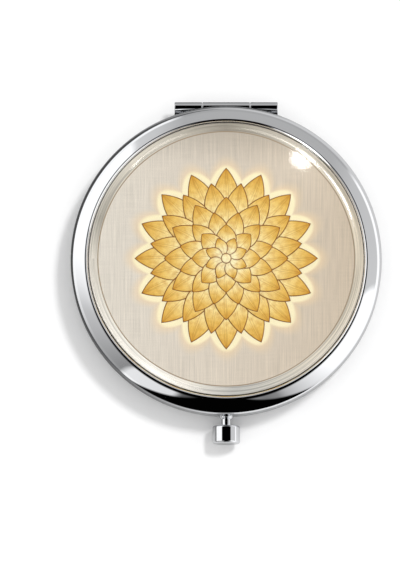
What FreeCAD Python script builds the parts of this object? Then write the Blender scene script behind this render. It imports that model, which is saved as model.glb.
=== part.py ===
"""Round compact mirror with a hinged lid and a push-knob latch, in millimetres.

The frame has +Z up and its origin at the centre of the flat underside. The hinge lies towards +Y and
the knob towards -Y. The compact is modelled closed, with the knob out.
"""
import FreeCAD
import Part
import Sketcher
import math
import os

Vector = FreeCAD.Vector

# Driving dimensions: name, millimetres (or a count), meaning
DIMENSIONS = (
    ("case_radius", 35.0, "outer radius of both shells"),
    ("shell_sheet", 0.6, "sheet of the pressed shells"),
    ("foot_band", 4.1, "width of the rounded band between underside and wall"),
    ("foot_rise", 3.1, "height of that band"),
    ("closing_gap", 0.1, "gap between the rims of the closed halves"),
    ("lid_band", 3.4, "width of the sloping rim of the lid"),
    ("lid_band_rise", 2.3, "height of that rim"),
    ("lid_band_radius", 7.0, "radius of its gentle crown"),
    ("lid_edge_round", 1.2, "rounding between lid wall and rim"),
    ("crest_round", 0.3, "rounding of the rim's inner edge"),
    ("recess_depth", 1.1, "depth of the recess of the insert"),
    ("recess_lip", 0.5, "from the rim's inner edge to the recess wall"),
    ("adhesive_sheet", 0.15, "adhesive under the insert"),
    ("insert_sheet", 0.4, "sheet of the insert disc"),
    ("dome_clearance", 0.1, "dome inside the recess wall"),
    ("insert_margin", 0.3, "clear resin round the edge of the insert"),
    ("dome_edge", 0.2, "upright edge of the dome"),
    ("dome_shoulder", 2.4, "width of the dome's rounded shoulder"),
    ("dome_shoulder_rise", 1.1, "height of that shoulder"),
    ("dome_crown", 0.25, "rise of the dome from shoulder to centre"),
    ("base_pad", 1.8, "foam pad under the base mirror"),
    ("base_mirror_edge", 1.8, "thickness of the base mirror at its edge"),
    ("base_mirror_dish", 0.8, "depth of the base mirror's hollow"),
    ("lid_pad", 0.5, "foam tape behind the lid mirror"),
    ("lid_mirror_sheet", 1.8, "thickness of the lid mirror"),
    ("mirror_clearance", 0.2, "between a mirror's edge and the spring bracket"),
    ("mirror_cover", 0.65, "how far a bezel reaches over its mirror"),
    ("pad_margin", 0.6, "pad inside the mirror's edge"),
    ("bezel_sheet", 0.5, "sheet of the bezels"),
    ("bezel_lip", 0.35, "inner flange of a bezel, down to its mirror"),
    ("bezel_skirt", 0.95, "outer flange of a bezel, along the wall"),
    ("bezel_round", 0.2, "rounding of the bezel edges that show"),
    ("fit_clearance", 0.05, "between pieces pushed together"),
    ("pin_diameter", 1.3, "hinge pin"),
    ("running_clearance", 0.03, "round the pin and round the stem"),
    ("leaf_sheet", 0.5, "sheet of the hinge leaves"),
    ("leaf_reach", 4.2, "from the hinge axis to a leaf's inner edge"),
    ("hinge_length", 23.3, "over the three knuckles"),
    ("middle_knuckle", 10.7, "length of the lid's knuckle"),
    ("knuckle_gap", 0.1, "between neighbouring knuckles"),
    ("hinge_offset", 0.1, "hinge axis outside the case radius"),
    ("hinge_clearance", 0.25, "round the knuckles, in shells and bezels"),
    ("knob_diameter", 6.2, "push knob"),
    ("knob_length", 4.0, "push knob without its neck"),
    ("knob_round", 0.45, "rounding of the knob's ends"),
    ("neck_diameter", 2.2, "neck and stem of the knob"),
    ("neck_length", 2.1, "neck between knob and case"),
    ("tail_diameter", 1.3, "stem inside the catch and the spring"),
    ("tail_length", 0.5, "tail beyond the catch, inside the spring"),
    ("bushing_wall", 0.35, "wall of the bushing"),
    ("bushing_nose", 0.6, "length of its cone outside the case"),
    ("bushing_flare", 0.15, "cone over the edge of its hole"),
    ("bushing_margin", 0.25, "bushing below the rim"),
    ("button_travel", 0.8, "stroke of the knob"),
    ("hook_sheet", 0.6, "sheet of the lid's hook"),
    ("hook_width", 6.4, "width of the hook over its two prongs"),
    ("hook_flange", 2.8, "length of the flange on the lid bezel"),
    ("hook_nose", 0.5, "reach of the noses of the prongs"),
    ("hook_nose_height", 0.6, "height of those noses"),
    ("hook_setback", 0.4, "hook inside the wall"),
    ("prong_clearance", 0.3, "prongs beside the bushing and in their notches"),
    ("catch_sheet", 0.6, "sheet of the sliding catch"),
    ("catch_drop", 1.2, "catch below the stem axis"),
    ("latch_clearance", 0.1, "between hook and catch, and under the bezel"),
    ("spring_wire", 0.2, "wire of the latch spring"),
    ("spring_turns", 3, "its turns, a whole number"),
    ("spring_slack", 0.15, "between its turns, all together, at full stroke"),
    ("spring_clearance", 0.15, "spring round the tail"),
    ("bracket_sheet", 0.4, "sheet of the spring bracket"),
    ("bracket_width", 5.0, "width of the spring bracket"),
    ("bracket_foot", 3.0, "length of its foot under the mirror"),
)

QUARTERS_PER_TURN = 4
CURL_MIDDLE_DEGREES = 50.0
CURL_END_DEGREES = 190.0
CUT_BEYOND = 2.0
SAME_PLACE = 1e-4


class Size:
    """A length worked out from the sheet: the formula that binds it, and its value now."""

    def __init__(self, formula, value):
        self.formula = formula
        self.value = value

    @staticmethod
    def of(number):
        """Return a plain number as a Size, and a Size as it is."""
        if isinstance(number, Size):
            return number
        return Size(repr(float(number)), float(number))

    def __add__(self, other):
        other = Size.of(other)
        return Size(f"({self.formula} + {other.formula})", self.value + other.value)

    def __sub__(self, other):
        other = Size.of(other)
        return Size(f"({self.formula} - {other.formula})", self.value - other.value)

    def __mul__(self, other):
        other = Size.of(other)
        return Size(f"({self.formula} * {other.formula})", self.value * other.value)

    def __truediv__(self, other):
        other = Size.of(other)
        return Size(f"({self.formula} / {other.formula})", self.value / other.value)

    def __neg__(self):
        return self * -1


ZERO = Size("0", 0.0)


class Sheet:
    """The document's spreadsheet of driving dimensions, one attribute for each of them."""

    def __init__(self, document):
        sheet = document.addObject("Spreadsheet::Sheet", "Sizes")
        for row, (name, number, meaning) in enumerate(DIMENSIONS, 1):
            sheet.set(f"A{row}", str(number))
            sheet.setAlias(f"A{row}", name)
            sheet.set(f"B{row}", meaning)
        document.recompute()
        for name, _, _ in DIMENSIONS:
            setattr(self, name, Size(f"Sizes.{name}", float(sheet.get(name))))


class Corner:
    """A corner of an outline, reached by a straight edge, or by an arc where it has a radius."""

    def __init__(self, across, up, radius=None, centre_on_left=True):
        self.across = across
        self.up = up
        self.radius = radius
        self.centre_on_left = centre_on_left

    def point(self):
        return Vector(self.across.value, self.up.value, 0)


document = FreeCAD.newDocument("compact_mirror")
sizes = Sheet(document)
sub_parts = []


# Sketches and features

def new_body(label):
    """Add a body, which is one sub-part of the compact."""
    body = document.addObject("PartDesign::Body", label)
    body.Label = label
    sub_parts.append(body)
    return body


def new_sketch(body, name, plane, offset=None):
    """Add a sketch on one of the body's own origin planes, moved along its normal by offset."""
    sketch = body.newObject("Sketcher::SketchObject", name)
    support = [feature for feature in body.Origin.OriginFeatures if feature.Role == plane]
    sketch.AttachmentSupport = [(support[0], "")]
    sketch.MapMode = "FlatFace"
    if offset is not None:
        sketch.setExpression("AttachmentOffset.Base.z", offset.formula)
    return sketch


def bind(sketch, constraint, size):
    """Add a constraint and tie its value to a size of the sheet."""
    index = sketch.addConstraint(constraint)
    sketch.setExpression(f"Constraints[{index}]", size.formula)


def place_point(sketch, edge, end, across, up):
    """Hold an edge's end at two sizes measured from the sketch's origin."""
    if across is ZERO:
        sketch.addConstraint(Sketcher.Constraint("PointOnObject", edge, end, -2))
    else:
        bind(sketch, Sketcher.Constraint("DistanceX", -1, 1, edge, end, across.value), across)
    if up is ZERO:
        sketch.addConstraint(Sketcher.Constraint("PointOnObject", edge, end, -1))
    else:
        bind(sketch, Sketcher.Constraint("DistanceY", -1, 1, edge, end, up.value), up)


def arc_through(start, stop, radius, centre_on_left):
    """Return the arc of under a half circle from start to stop."""
    middle = (start + stop) / 2
    along = stop - start
    half_chord = along.Length / 2
    side = Vector(-along.y, along.x, 0).normalize()
    if not centre_on_left:
        side = -side
    centre = middle + side * math.sqrt(max(radius ** 2 - half_chord ** 2, 0.0))
    return Part.Arc(start, centre - side * radius, stop)


def draw_outline(sketch, corners):
    """Draw a closed outline through the corners, each held by sizes of the sheet."""
    ends = []
    for previous, corner in zip(corners[-1:] + corners[:-1], corners):
        start = previous.point()
        stop = corner.point()
        if corner.radius is None:
            edge = sketch.addGeometry(Part.LineSegment(start, stop))
        else:
            arc = arc_through(start, stop, corner.radius.value, corner.centre_on_left)
            edge = sketch.addGeometry(arc)
        runs_forward = sketch.getPoint(edge, 1).isEqual(start, SAME_PLACE)
        ends.append((edge, 1, 2) if runs_forward else (edge, 2, 1))
    for (edge, _, last), (following, first, _) in zip(ends, ends[1:] + ends[:1]):
        sketch.addConstraint(Sketcher.Constraint("Coincident", edge, last, following, first))
    for (edge, _, last), corner in zip(ends, corners):
        place_point(sketch, edge, last, corner.across, corner.up)
        if corner.radius is not None:
            bind(sketch, Sketcher.Constraint("Radius", edge, corner.radius.value), corner.radius)


def draw_circle(sketch, across, up, radius):
    """Draw a circle whose centre and radius are sizes of the sheet."""
    centre = Vector(across.value, up.value, 0)
    edge = sketch.addGeometry(Part.Circle(centre, Vector(0, 0, 1), radius.value))
    place_point(sketch, edge, 3, across, up)
    bind(sketch, Sketcher.Constraint("Radius", edge, radius.value), radius)


def box_corners(left, right, bottom, top):
    """Return the four corners of a rectangle."""
    return [Corner(left, bottom), Corner(right, bottom), Corner(right, top), Corner(left, top)]


def revolve(body, name, corners, plane="XZ_Plane", axis="V_Axis"):
    """Turn an outline about an axis of its sketch."""
    sketch = new_sketch(body, f"{name}_outline", plane)
    draw_outline(sketch, corners)
    feature = body.newObject("PartDesign::Revolution", name)
    feature.Profile = sketch
    feature.ReferenceAxis = (sketch, [axis])
    feature.Angle = 360
    document.recompute()
    return feature


def extrude_across(body, kind, name, width, corners=None, circle=None):
    """Pad or pocket an outline or a circle of the Y-Z plane, half of the width to each side."""
    sketch = new_sketch(body, f"{name}_outline", "YZ_Plane")
    if corners is not None:
        draw_outline(sketch, corners)
    else:
        draw_circle(sketch, *circle)
    feature = body.newObject(f"PartDesign::{kind}", name)
    feature.Profile = sketch
    feature.SideType = "Symmetric"
    feature.setExpression("Length", width.formula)
    document.recompute()
    return feature


def pad_across(body, name, width, corners):
    """Pad an outline of the Y-Z plane to both sides."""
    return extrude_across(body, "Pad", name, width, corners)


def cut_across(body, name, width, corners):
    """Cut an outline of the Y-Z plane to both sides, and see that it took something away."""
    before = body.Tip.Shape.Volume
    feature = extrude_across(body, "Pocket", name, width, corners)
    require_less(feature, before)
    return feature


def drill_front(body, name, radius, height, near, far):
    """Drill a hole along Y through the front, between two distances from the Z axis."""
    before = body.Tip.Shape.Volume
    sketch = new_sketch(body, f"{name}_outline", "XZ_Plane", far)
    draw_circle(sketch, ZERO, height, radius)
    feature = body.newObject("PartDesign::Pocket", name)
    feature.Profile = sketch
    feature.setExpression("Length", (far - near).formula)
    document.recompute()
    require_less(feature, before)
    return feature


def require_less(feature, before):
    """Stop the build if a cut points away from its solid."""
    if feature.Shape.Volume > before - SAME_PLACE:
        raise RuntimeError(f"{feature.Name} cuts nothing")


def rings(feature, radius, height):
    """Return the names of a feature's circular edges with that radius at that height."""
    names = []
    for index, edge in enumerate(feature.Shape.Edges, 1):
        curve = edge.Curve
        if not isinstance(curve, Part.Circle):
            continue
        same_radius = abs(curve.Radius - radius.value) < SAME_PLACE
        if same_radius and abs(curve.Center.z - height.value) < SAME_PLACE:
            names.append(f"Edge{index}")
    return names


def round_rings(body, name, radius, places):
    """Fillet the rings of the body's last feature that lie at the given radii and heights."""
    base = body.Tip
    names = []
    for ring_radius, height in places:
        names += rings(base, ring_radius, height)
    if len(names) < len(places):
        raise RuntimeError(f"{name} misses an edge")
    feature = body.newObject("PartDesign::Fillet", name)
    feature.Base = (base, names)
    feature.setExpression("Radius", radius.formula)
    document.recompute()
    return feature


def shell_out(body, name, sheet, height):
    """Hollow the body from its flat face at a height, leaving a wall of the given sheet."""
    base = body.Tip
    open_faces = []
    for index, face in enumerate(base.Shape.Faces, 1):
        box = face.BoundBox
        if box.ZLength < SAME_PLACE and abs(box.ZMin - height.value) < SAME_PLACE:
            open_faces.append(f"Face{index}")
    feature = body.newObject("PartDesign::Thickness", name)
    feature.Base = (base, open_faces)
    feature.setExpression("Value", sheet.formula)
    feature.Reversed = True
    feature.Join = "Intersection"
    document.recompute()
    return feature


# Heights, from the underside up

floor_top = sizes.shell_sheet
base_mirror_back = floor_top + sizes.base_pad
base_mirror_front = base_mirror_back + sizes.base_mirror_edge
base_bezel_under = base_mirror_front + sizes.bezel_lip
base_bezel_top = base_bezel_under + sizes.bezel_sheet
knuckle_bore = sizes.pin_diameter / 2 + sizes.running_clearance
knuckle_radius = knuckle_bore + sizes.leaf_sheet
hinge_height = base_bezel_under + knuckle_bore
base_rim = hinge_height - sizes.closing_gap / 2
lid_rim = hinge_height + sizes.closing_gap / 2
lid_bezel_inside = hinge_height + knuckle_bore
lid_bezel_face = lid_bezel_inside - sizes.bezel_sheet
lid_mirror_front = lid_bezel_inside + sizes.bezel_lip
lid_mirror_back = lid_mirror_front + sizes.lid_mirror_sheet
lid_ceiling = lid_mirror_back + sizes.lid_pad
recess_floor = lid_ceiling + sizes.shell_sheet
lid_crest = recess_floor + sizes.recess_depth
lid_edge = lid_crest - sizes.lid_band_rise
insert_bottom = recess_floor + sizes.adhesive_sheet
dome_bottom = insert_bottom + sizes.insert_sheet
dome_edge_top = dome_bottom + sizes.dome_edge
dome_shoulder_top = dome_edge_top + sizes.dome_shoulder_rise
dome_top = dome_shoulder_top + sizes.dome_crown

# The hinge, towards +Y

hinge_reach = sizes.case_radius + sizes.hinge_offset
leaf_inner = hinge_reach - sizes.leaf_reach
hinge_clear_radius = knuckle_radius + sizes.hinge_clearance
hinge_notch_width = sizes.hinge_length + sizes.hinge_clearance * 2
hinge_notch_front = hinge_reach - hinge_clear_radius
beyond_hinge = hinge_reach + hinge_clear_radius + CUT_BEYOND

# The latch, as distances from the Z axis towards -Y

wall_inside = sizes.case_radius - sizes.shell_sheet
hook_outside = wall_inside - sizes.hook_setback
hook_inside = hook_outside - sizes.hook_sheet
hook_tip = hook_inside - sizes.hook_nose
catch_lip = hook_inside - sizes.latch_clearance
catch_front = hook_tip - sizes.latch_clearance
catch_back = catch_front - sizes.catch_sheet
spring_length = sizes.button_travel + sizes.spring_wire * (sizes.spring_turns + 1) + sizes.spring_slack
bracket_front = catch_back - spring_length
bracket_back = bracket_front - sizes.bracket_sheet
stem_radius = sizes.neck_diameter / 2
bushing_bore = stem_radius + sizes.running_clearance
bushing_radius = bushing_bore + sizes.bushing_wall
bushing_hole = bushing_radius + sizes.fit_clearance
button_height = base_rim - bushing_hole - sizes.bushing_margin
prong_inner_half = bushing_radius + sizes.prong_clearance
latch_notch_width = sizes.hook_width + sizes.prong_clearance * 2
catch_top = base_bezel_under - sizes.latch_clearance
catch_lip_bottom = catch_top - sizes.catch_sheet
hook_nose_top = catch_lip_bottom - sizes.latch_clearance
hook_bottom = hook_nose_top - sizes.hook_nose_height
beyond_wall = sizes.case_radius + CUT_BEYOND

# Radii

mirror_radius = bracket_back - sizes.mirror_clearance
pad_radius = mirror_radius - sizes.pad_margin
bezel_inner = mirror_radius - sizes.mirror_cover
bezel_outer = wall_inside - sizes.fit_clearance
crest_radius = sizes.case_radius - sizes.lid_band
recess_radius = crest_radius - sizes.recess_lip
dome_radius = recess_radius - sizes.dome_clearance
insert_radius = dome_radius - sizes.insert_margin


# Base

def make_base_shell():
    """Pressed pan with a flat underside, notched for the hinge and drilled for the bushing."""
    body = new_body("base_shell")
    foot_radius = sizes.case_radius - sizes.foot_band
    foot_arc = (sizes.foot_band * sizes.foot_band + sizes.foot_rise * sizes.foot_rise) / (sizes.foot_rise * 2)
    revolve(body, "pan", [
        Corner(ZERO, ZERO),
        Corner(foot_radius, ZERO),
        Corner(sizes.case_radius, sizes.foot_rise, foot_arc),
        Corner(sizes.case_radius, base_rim),
        Corner(ZERO, base_rim),
    ])
    shell_out(body, "pan_wall", sizes.shell_sheet, base_rim)
    notch_bottom = hinge_height - hinge_clear_radius
    above_rim = base_rim + CUT_BEYOND
    cut_across(body, "hinge_notch", hinge_notch_width,
               box_corners(leaf_inner, beyond_hinge, notch_bottom, above_rim))
    drill_front(body, "bushing_hole", bushing_hole, button_height, wall_inside - CUT_BEYOND, beyond_wall)


def bezel_corners(face, inside, lip_end, skirt_end):
    """Outline of a bezel: a flat ring with a flange at its inner and at its outer edge."""
    lip_outside = bezel_inner + sizes.bezel_sheet
    skirt_inside = bezel_outer - sizes.bezel_sheet
    return [
        Corner(bezel_inner, face),
        Corner(bezel_outer, face),
        Corner(bezel_outer, skirt_end),
        Corner(skirt_inside, skirt_end),
        Corner(skirt_inside, inside),
        Corner(lip_outside, inside),
        Corner(lip_outside, lip_end),
        Corner(bezel_inner, lip_end),
    ]


def make_base_bezel():
    """Frame of the base mirror, with a notch for the hook and room for the hinge."""
    body = new_body("base_bezel")
    skirt_end = base_bezel_under - sizes.bezel_skirt
    revolve(body, "frame", bezel_corners(base_bezel_top, base_bezel_under, base_mirror_front, skirt_end))
    round_rings(body, "frame_edges", sizes.bezel_round,
                [(bezel_inner, base_bezel_top), (bezel_outer, base_bezel_top)])
    below = skirt_end - CUT_BEYOND
    above = base_bezel_top + CUT_BEYOND
    cut_across(body, "knuckle_room", hinge_notch_width,
               box_corners(hinge_notch_front, beyond_hinge, below, above))
    cut_across(body, "leaf_room", hinge_notch_width,
               box_corners(leaf_inner, beyond_hinge, below, base_bezel_under))
    notch_inner = -(hook_tip - sizes.prong_clearance)
    cut_across(body, "hook_notch", latch_notch_width,
               box_corners(-beyond_wall, notch_inner, below, above))


def make_base_mirror():
    """Magnifying mirror, hollow on its front."""
    body = new_body("base_mirror")
    dish = sizes.base_mirror_dish
    dish_radius = (mirror_radius * mirror_radius + dish * dish) / (dish * 2)
    revolve(body, "glass", [
        Corner(ZERO, base_mirror_back),
        Corner(mirror_radius, base_mirror_back),
        Corner(mirror_radius, base_mirror_front),
        Corner(ZERO, base_mirror_front - dish, dish_radius, centre_on_left=False),
    ])


def make_base_mirror_pad():
    """Foam pad under the base mirror, cut out over the foot of the spring bracket."""
    body = new_body("base_mirror_pad")
    revolve(body, "pad", disc_corners(pad_radius, floor_top, base_mirror_back))
    foot_inner = bracket_front - sizes.bracket_foot
    room = sizes.bracket_width + sizes.prong_clearance * 2
    cut_across(body, "bracket_room", room,
               box_corners(-beyond_wall, sizes.prong_clearance - foot_inner,
                           floor_top - CUT_BEYOND, base_mirror_back + CUT_BEYOND))


def disc_corners(radius, bottom, top):
    """Outline of a plain disc."""
    return [Corner(ZERO, bottom), Corner(radius, bottom), Corner(radius, top), Corner(ZERO, top)]


def leaf_corners(side):
    """Outline of a hinge leaf: a plate whose outer end is curled round the pin, with an open seam.

    The plate lies below the hinge axis with a side of 1, and above it with a side of -1.
    """
    def on_curl(radius, degrees):
        angle = math.radians(degrees)
        return hinge_reach + radius * math.cos(angle), hinge_height + radius * (side * math.sin(angle))

    turns_left = side > 0
    plate_outer = hinge_height - knuckle_radius * side
    plate_inner = hinge_height - knuckle_bore * side
    return [
        Corner(leaf_inner, plate_outer),
        Corner(hinge_reach, plate_outer),
        Corner(*on_curl(knuckle_radius, CURL_MIDDLE_DEGREES), knuckle_radius, turns_left),
        Corner(*on_curl(knuckle_radius, CURL_END_DEGREES), knuckle_radius, turns_left),
        Corner(*on_curl(knuckle_bore, CURL_END_DEGREES)),
        Corner(*on_curl(knuckle_bore, CURL_MIDDLE_DEGREES), knuckle_bore, not turns_left),
        Corner(hinge_reach, plate_inner, knuckle_bore, not turns_left),
        Corner(leaf_inner, plate_inner),
    ]


def make_hinge_leaf_base():
    """Leaf under the base bezel, with the two outer knuckles."""
    body = new_body("hinge_leaf_base")
    pad_across(body, "curled_sheet", sizes.hinge_length, leaf_corners(side=1))
    window = sizes.middle_knuckle + sizes.knuckle_gap * 2
    cut_across(body, "middle_window", window,
               box_corners(hinge_notch_front, beyond_hinge,
                           hinge_height - hinge_clear_radius, hinge_height + hinge_clear_radius))


def make_hinge_leaf_lid():
    """Leaf on the lid bezel, with the middle knuckle."""
    body = new_body("hinge_leaf_lid")
    pad_across(body, "curled_sheet", sizes.middle_knuckle, leaf_corners(side=-1))


def make_hinge_pin():
    """Pin through the three knuckles."""
    body = new_body("hinge_pin")
    pin = (hinge_reach, hinge_height, sizes.pin_diameter / 2)
    extrude_across(body, "Pad", "pin", sizes.hinge_length, circle=pin)


def make_button_bushing():
    """Turned bushing in the front wall, with a cone outside the case."""
    body = new_body("button_bushing")
    inner_end = -(catch_front + sizes.fit_clearance)
    wall = -sizes.case_radius
    nose = wall - sizes.bushing_nose
    flare = bushing_hole + sizes.bushing_flare
    nose_radius = bushing_bore + sizes.bushing_flare
    revolve(body, "bushing", [
        Corner(nose, bushing_bore),
        Corner(nose, nose_radius),
        Corner(wall, flare),
        Corner(wall, bushing_radius),
        Corner(inner_end, bushing_radius),
        Corner(inner_end, bushing_bore),
    ], "YZ_Plane", "H_Axis")
    body.setExpression("Placement.Base.z", button_height.formula)


def make_spring_bracket():
    """Bent strip on the floor, whose upright carries the fixed end of the spring."""
    body = new_body("spring_bracket")
    foot_inner = bracket_front - sizes.bracket_foot
    top = base_bezel_under - sizes.latch_clearance
    pad_across(body, "strip", sizes.bracket_width, [
        Corner(-bracket_front, floor_top),
        Corner(-foot_inner, floor_top),
        Corner(-foot_inner, floor_top + sizes.bracket_sheet),
        Corner(-bracket_back, floor_top + sizes.bracket_sheet),
        Corner(-bracket_back, top),
        Corner(-bracket_front, top),
    ])


def biarc(start, start_way, stop, stop_way):
    """Return two arcs that join two points and leave and arrive along the given directions."""
    chord = stop - start
    ways = start_way + stop_way
    square = 2.0 * (start_way.dot(stop_way) - 1.0)
    linear = -2.0 * chord.dot(ways)
    reach = (-linear - math.sqrt(linear ** 2 - 4.0 * square * chord.dot(chord))) / (2.0 * square)
    first = start + start_way * reach
    second = stop - stop_way * reach
    joint = (first + second) / 2
    return [arc_by_tangents(start, first, joint), arc_by_tangents(joint, second, stop)]


def arc_by_tangents(start, apex, stop):
    """Return the arc from start to stop whose end tangents meet at apex."""
    middle = (start + stop) / 2
    rise = apex - middle
    half_chord = (stop - start).Length / 2
    sagitta = half_chord * math.tan(math.atan2(rise.Length, half_chord) / 2)
    return Part.Arc(start, middle + rise.normalize() * sagitta, stop).toShape()


def make_latch_spring():
    """Coil spring between catch and bracket, wound along Y."""
    wire = sizes.spring_wire.value
    radius = sizes.tail_diameter.value / 2 + sizes.spring_clearance.value + wire / 2
    start = -catch_back.value + wire / 2
    climb = spring_length.value - wire
    steps = round(sizes.spring_turns.value) * QUARTERS_PER_TURN
    quarter = 2.0 * math.pi / QUARTERS_PER_TURN
    pitch = climb / (steps * quarter)

    def place(step):
        angle = step * quarter
        return Vector(radius * math.cos(angle), start + pitch * angle, radius * math.sin(angle))

    def way(step):
        angle = step * quarter
        return Vector(-radius * math.sin(angle), pitch, radius * math.cos(angle)).normalize()

    edges = []
    for step in range(steps):
        edges += biarc(place(step), way(step), place(step + 1), way(step + 1))
    section = Part.Wire(Part.Circle(place(0), way(0), wire / 2).toShape())
    spring = document.addObject("Part::Feature", "latch_spring")
    spring.Label = "latch_spring"
    spring.Shape = Part.Wire(edges).makePipeShell([section], True, False)
    spring.setExpression("Placement.Base.z", button_height.formula)
    sub_parts.append(spring)


# Lid

def make_lid_shell():
    """Pressed lid with a sloping polished rim round the recess of the insert."""
    body = new_body("lid_shell")
    revolve(body, "cover", [
        Corner(ZERO, lid_rim),
        Corner(sizes.case_radius, lid_rim),
        Corner(sizes.case_radius, lid_edge),
        Corner(crest_radius, lid_crest, sizes.lid_band_radius),
        Corner(recess_radius, lid_crest - sizes.crest_round),
        Corner(recess_radius, recess_floor),
        Corner(ZERO, recess_floor),
    ])
    round_rings(body, "outer_edge", sizes.lid_edge_round, [(sizes.case_radius, lid_edge)])
    round_rings(body, "crest_edge", sizes.crest_round, [(crest_radius, lid_crest)])
    shell_out(body, "cover_wall", sizes.shell_sheet, lid_rim)
    notch_top = hinge_height + hinge_clear_radius
    cut_across(body, "hinge_notch", hinge_notch_width,
               box_corners(leaf_inner, beyond_hinge, lid_rim - CUT_BEYOND, notch_top))


def make_lid_bezel():
    """Frame of the lid mirror, with a notch for the prongs and room for the hinge."""
    body = new_body("lid_bezel")
    skirt_end = lid_bezel_inside + sizes.bezel_skirt
    revolve(body, "frame", bezel_corners(lid_bezel_face, lid_bezel_inside, lid_mirror_front, skirt_end))
    round_rings(body, "frame_edges", sizes.bezel_round,
                [(bezel_inner, lid_bezel_face), (bezel_outer, lid_bezel_face)])
    below = lid_bezel_face - CUT_BEYOND
    above = skirt_end + CUT_BEYOND
    cut_across(body, "knuckle_room", hinge_notch_width,
               box_corners(hinge_notch_front, beyond_hinge, below, above))
    cut_across(body, "leaf_room", hinge_notch_width,
               box_corners(leaf_inner, beyond_hinge, lid_bezel_inside, above))
    notch_inner = -(hook_inside - sizes.prong_clearance)
    cut_across(body, "prong_notch", latch_notch_width,
               box_corners(-beyond_wall, notch_inner, below, above))


def make_disc(label, radius, bottom, top):
    """Plain round sheet."""
    body = new_body(label)
    revolve(body, "disc", disc_corners(radius, bottom, top))


def make_dome():
    """Clear cover of the insert: a nearly flat crown, a rounded shoulder and a foot round the insert."""
    body = new_body("dome")
    foot_inside = insert_radius + sizes.fit_clearance
    shoulder_radius = dome_radius - sizes.dome_shoulder
    width = sizes.dome_shoulder
    rise = sizes.dome_shoulder_rise
    shoulder_arc = (width * width + rise * rise) / (rise * 2)
    crown = sizes.dome_crown
    crown_arc = (shoulder_radius * shoulder_radius + crown * crown) / (crown * 2)
    revolve(body, "cover", [
        Corner(ZERO, dome_bottom),
        Corner(foot_inside, dome_bottom),
        Corner(foot_inside, recess_floor),
        Corner(dome_radius, recess_floor),
        Corner(dome_radius, dome_edge_top),
        Corner(shoulder_radius, dome_shoulder_top, shoulder_arc),
        Corner(ZERO, dome_top, crown_arc),
    ])


def make_latch_hook():
    """Forked hook: a flange on the lid bezel and two prongs with noses towards the mirror."""
    body = new_body("latch_hook")
    flange_top = lid_bezel_inside + sizes.hook_sheet
    flange_inner = hook_outside - sizes.hook_flange
    pad_across(body, "bent_sheet", sizes.hook_width, [
        Corner(-hook_outside, hook_bottom),
        Corner(-hook_inside, hook_bottom),
        Corner(-hook_tip, hook_nose_top - sizes.hook_nose_height / 2),
        Corner(-hook_tip, hook_nose_top),
        Corner(-hook_inside, hook_nose_top),
        Corner(-hook_inside, lid_bezel_inside),
        Corner(-flange_inner, lid_bezel_inside),
        Corner(-flange_inner, flange_top),
        Corner(-hook_inside, flange_top),
        Corner(-hook_outside, lid_bezel_inside, sizes.hook_sheet),
    ])
    cut_across(body, "fork", prong_inner_half * 2,
               box_corners(-beyond_wall, -(hook_tip - CUT_BEYOND), hook_bottom - CUT_BEYOND, lid_bezel_inside))


# Button

def make_push_knob():
    """Knob, neck and stem, turned in one piece about its own axis."""
    body = new_body("push_knob")
    back = -(sizes.case_radius + sizes.neck_length)
    front = back - sizes.knob_length
    radius = sizes.knob_diameter / 2
    edge = sizes.knob_round
    tail = sizes.tail_diameter / 2
    tail_end = sizes.tail_length - catch_back
    revolve(body, "knob", [
        Corner(front, ZERO),
        Corner(front, radius - edge),
        Corner(front + edge, radius, edge, centre_on_left=False),
        Corner(back - edge, radius),
        Corner(back, radius - edge, edge, centre_on_left=False),
        Corner(back, stem_radius),
        Corner(-catch_front, stem_radius),
        Corner(-catch_front, tail),
        Corner(tail_end, tail),
        Corner(tail_end, ZERO),
    ], "YZ_Plane", "H_Axis")
    body.setExpression("Placement.Base.z", button_height.formula)


def make_latch_catch():
    """Catch plate riveted on the stem, with two lips over the noses of the hook."""
    body = new_body("latch_catch")
    bottom = button_height - sizes.catch_drop
    pad_across(body, "plate", sizes.hook_width, [
        Corner(-catch_front, bottom),
        Corner(-catch_back, bottom),
        Corner(-catch_back, catch_top),
        Corner(-catch_lip, catch_top),
        Corner(-catch_lip, catch_lip_bottom),
        Corner(-catch_front, catch_lip_bottom),
    ])
    cut_across(body, "bushing_gap", prong_inner_half * 2,
               box_corners(-beyond_wall, -catch_front, bottom - CUT_BEYOND, catch_top + CUT_BEYOND))
    drill_front(body, "stem_hole", sizes.tail_diameter / 2, button_height,
                catch_back - CUT_BEYOND, catch_front + CUT_BEYOND)


def check_document():
    """Stop if any object failed or any sub-part is missing, broken or in several pieces."""
    document.recompute()
    for item in document.Objects:
        if "Invalid" in item.State or "Error" in item.State:
            raise RuntimeError(f"{item.Label} failed: {item.State}")
    for part in sub_parts:
        shape = part.Shape
        if shape.isNull() or not shape.isValid() or len(shape.Solids) != 1:
            raise RuntimeError(f"{part.Label} is not one valid solid")


def write_parts():
    """Write each sub-part to its own file and print its volume."""
    os.makedirs("parts", exist_ok=True)
    for part in sub_parts:
        part.Shape.exportStep(f"parts/{part.Label}.step")
        print(f"{part.Label}: {part.Shape.Volume:.2f} mm3")


make_base_shell()
make_base_bezel()
make_base_mirror()
make_base_mirror_pad()
make_hinge_leaf_base()
make_hinge_pin()
make_button_bushing()
make_spring_bracket()
make_latch_spring()
make_lid_shell()
make_lid_bezel()
make_disc("lid_mirror", mirror_radius, lid_mirror_front, lid_mirror_back)
make_disc("lid_mirror_pad", pad_radius, lid_mirror_back, lid_ceiling)
make_disc("insert_adhesive", insert_radius, recess_floor, insert_bottom)
make_disc("insert_disc", insert_radius, insert_bottom, dome_bottom)
make_dome()
make_hinge_leaf_lid()
make_latch_hook()
make_push_knob()
make_latch_catch()
check_document()
write_parts()
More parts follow.
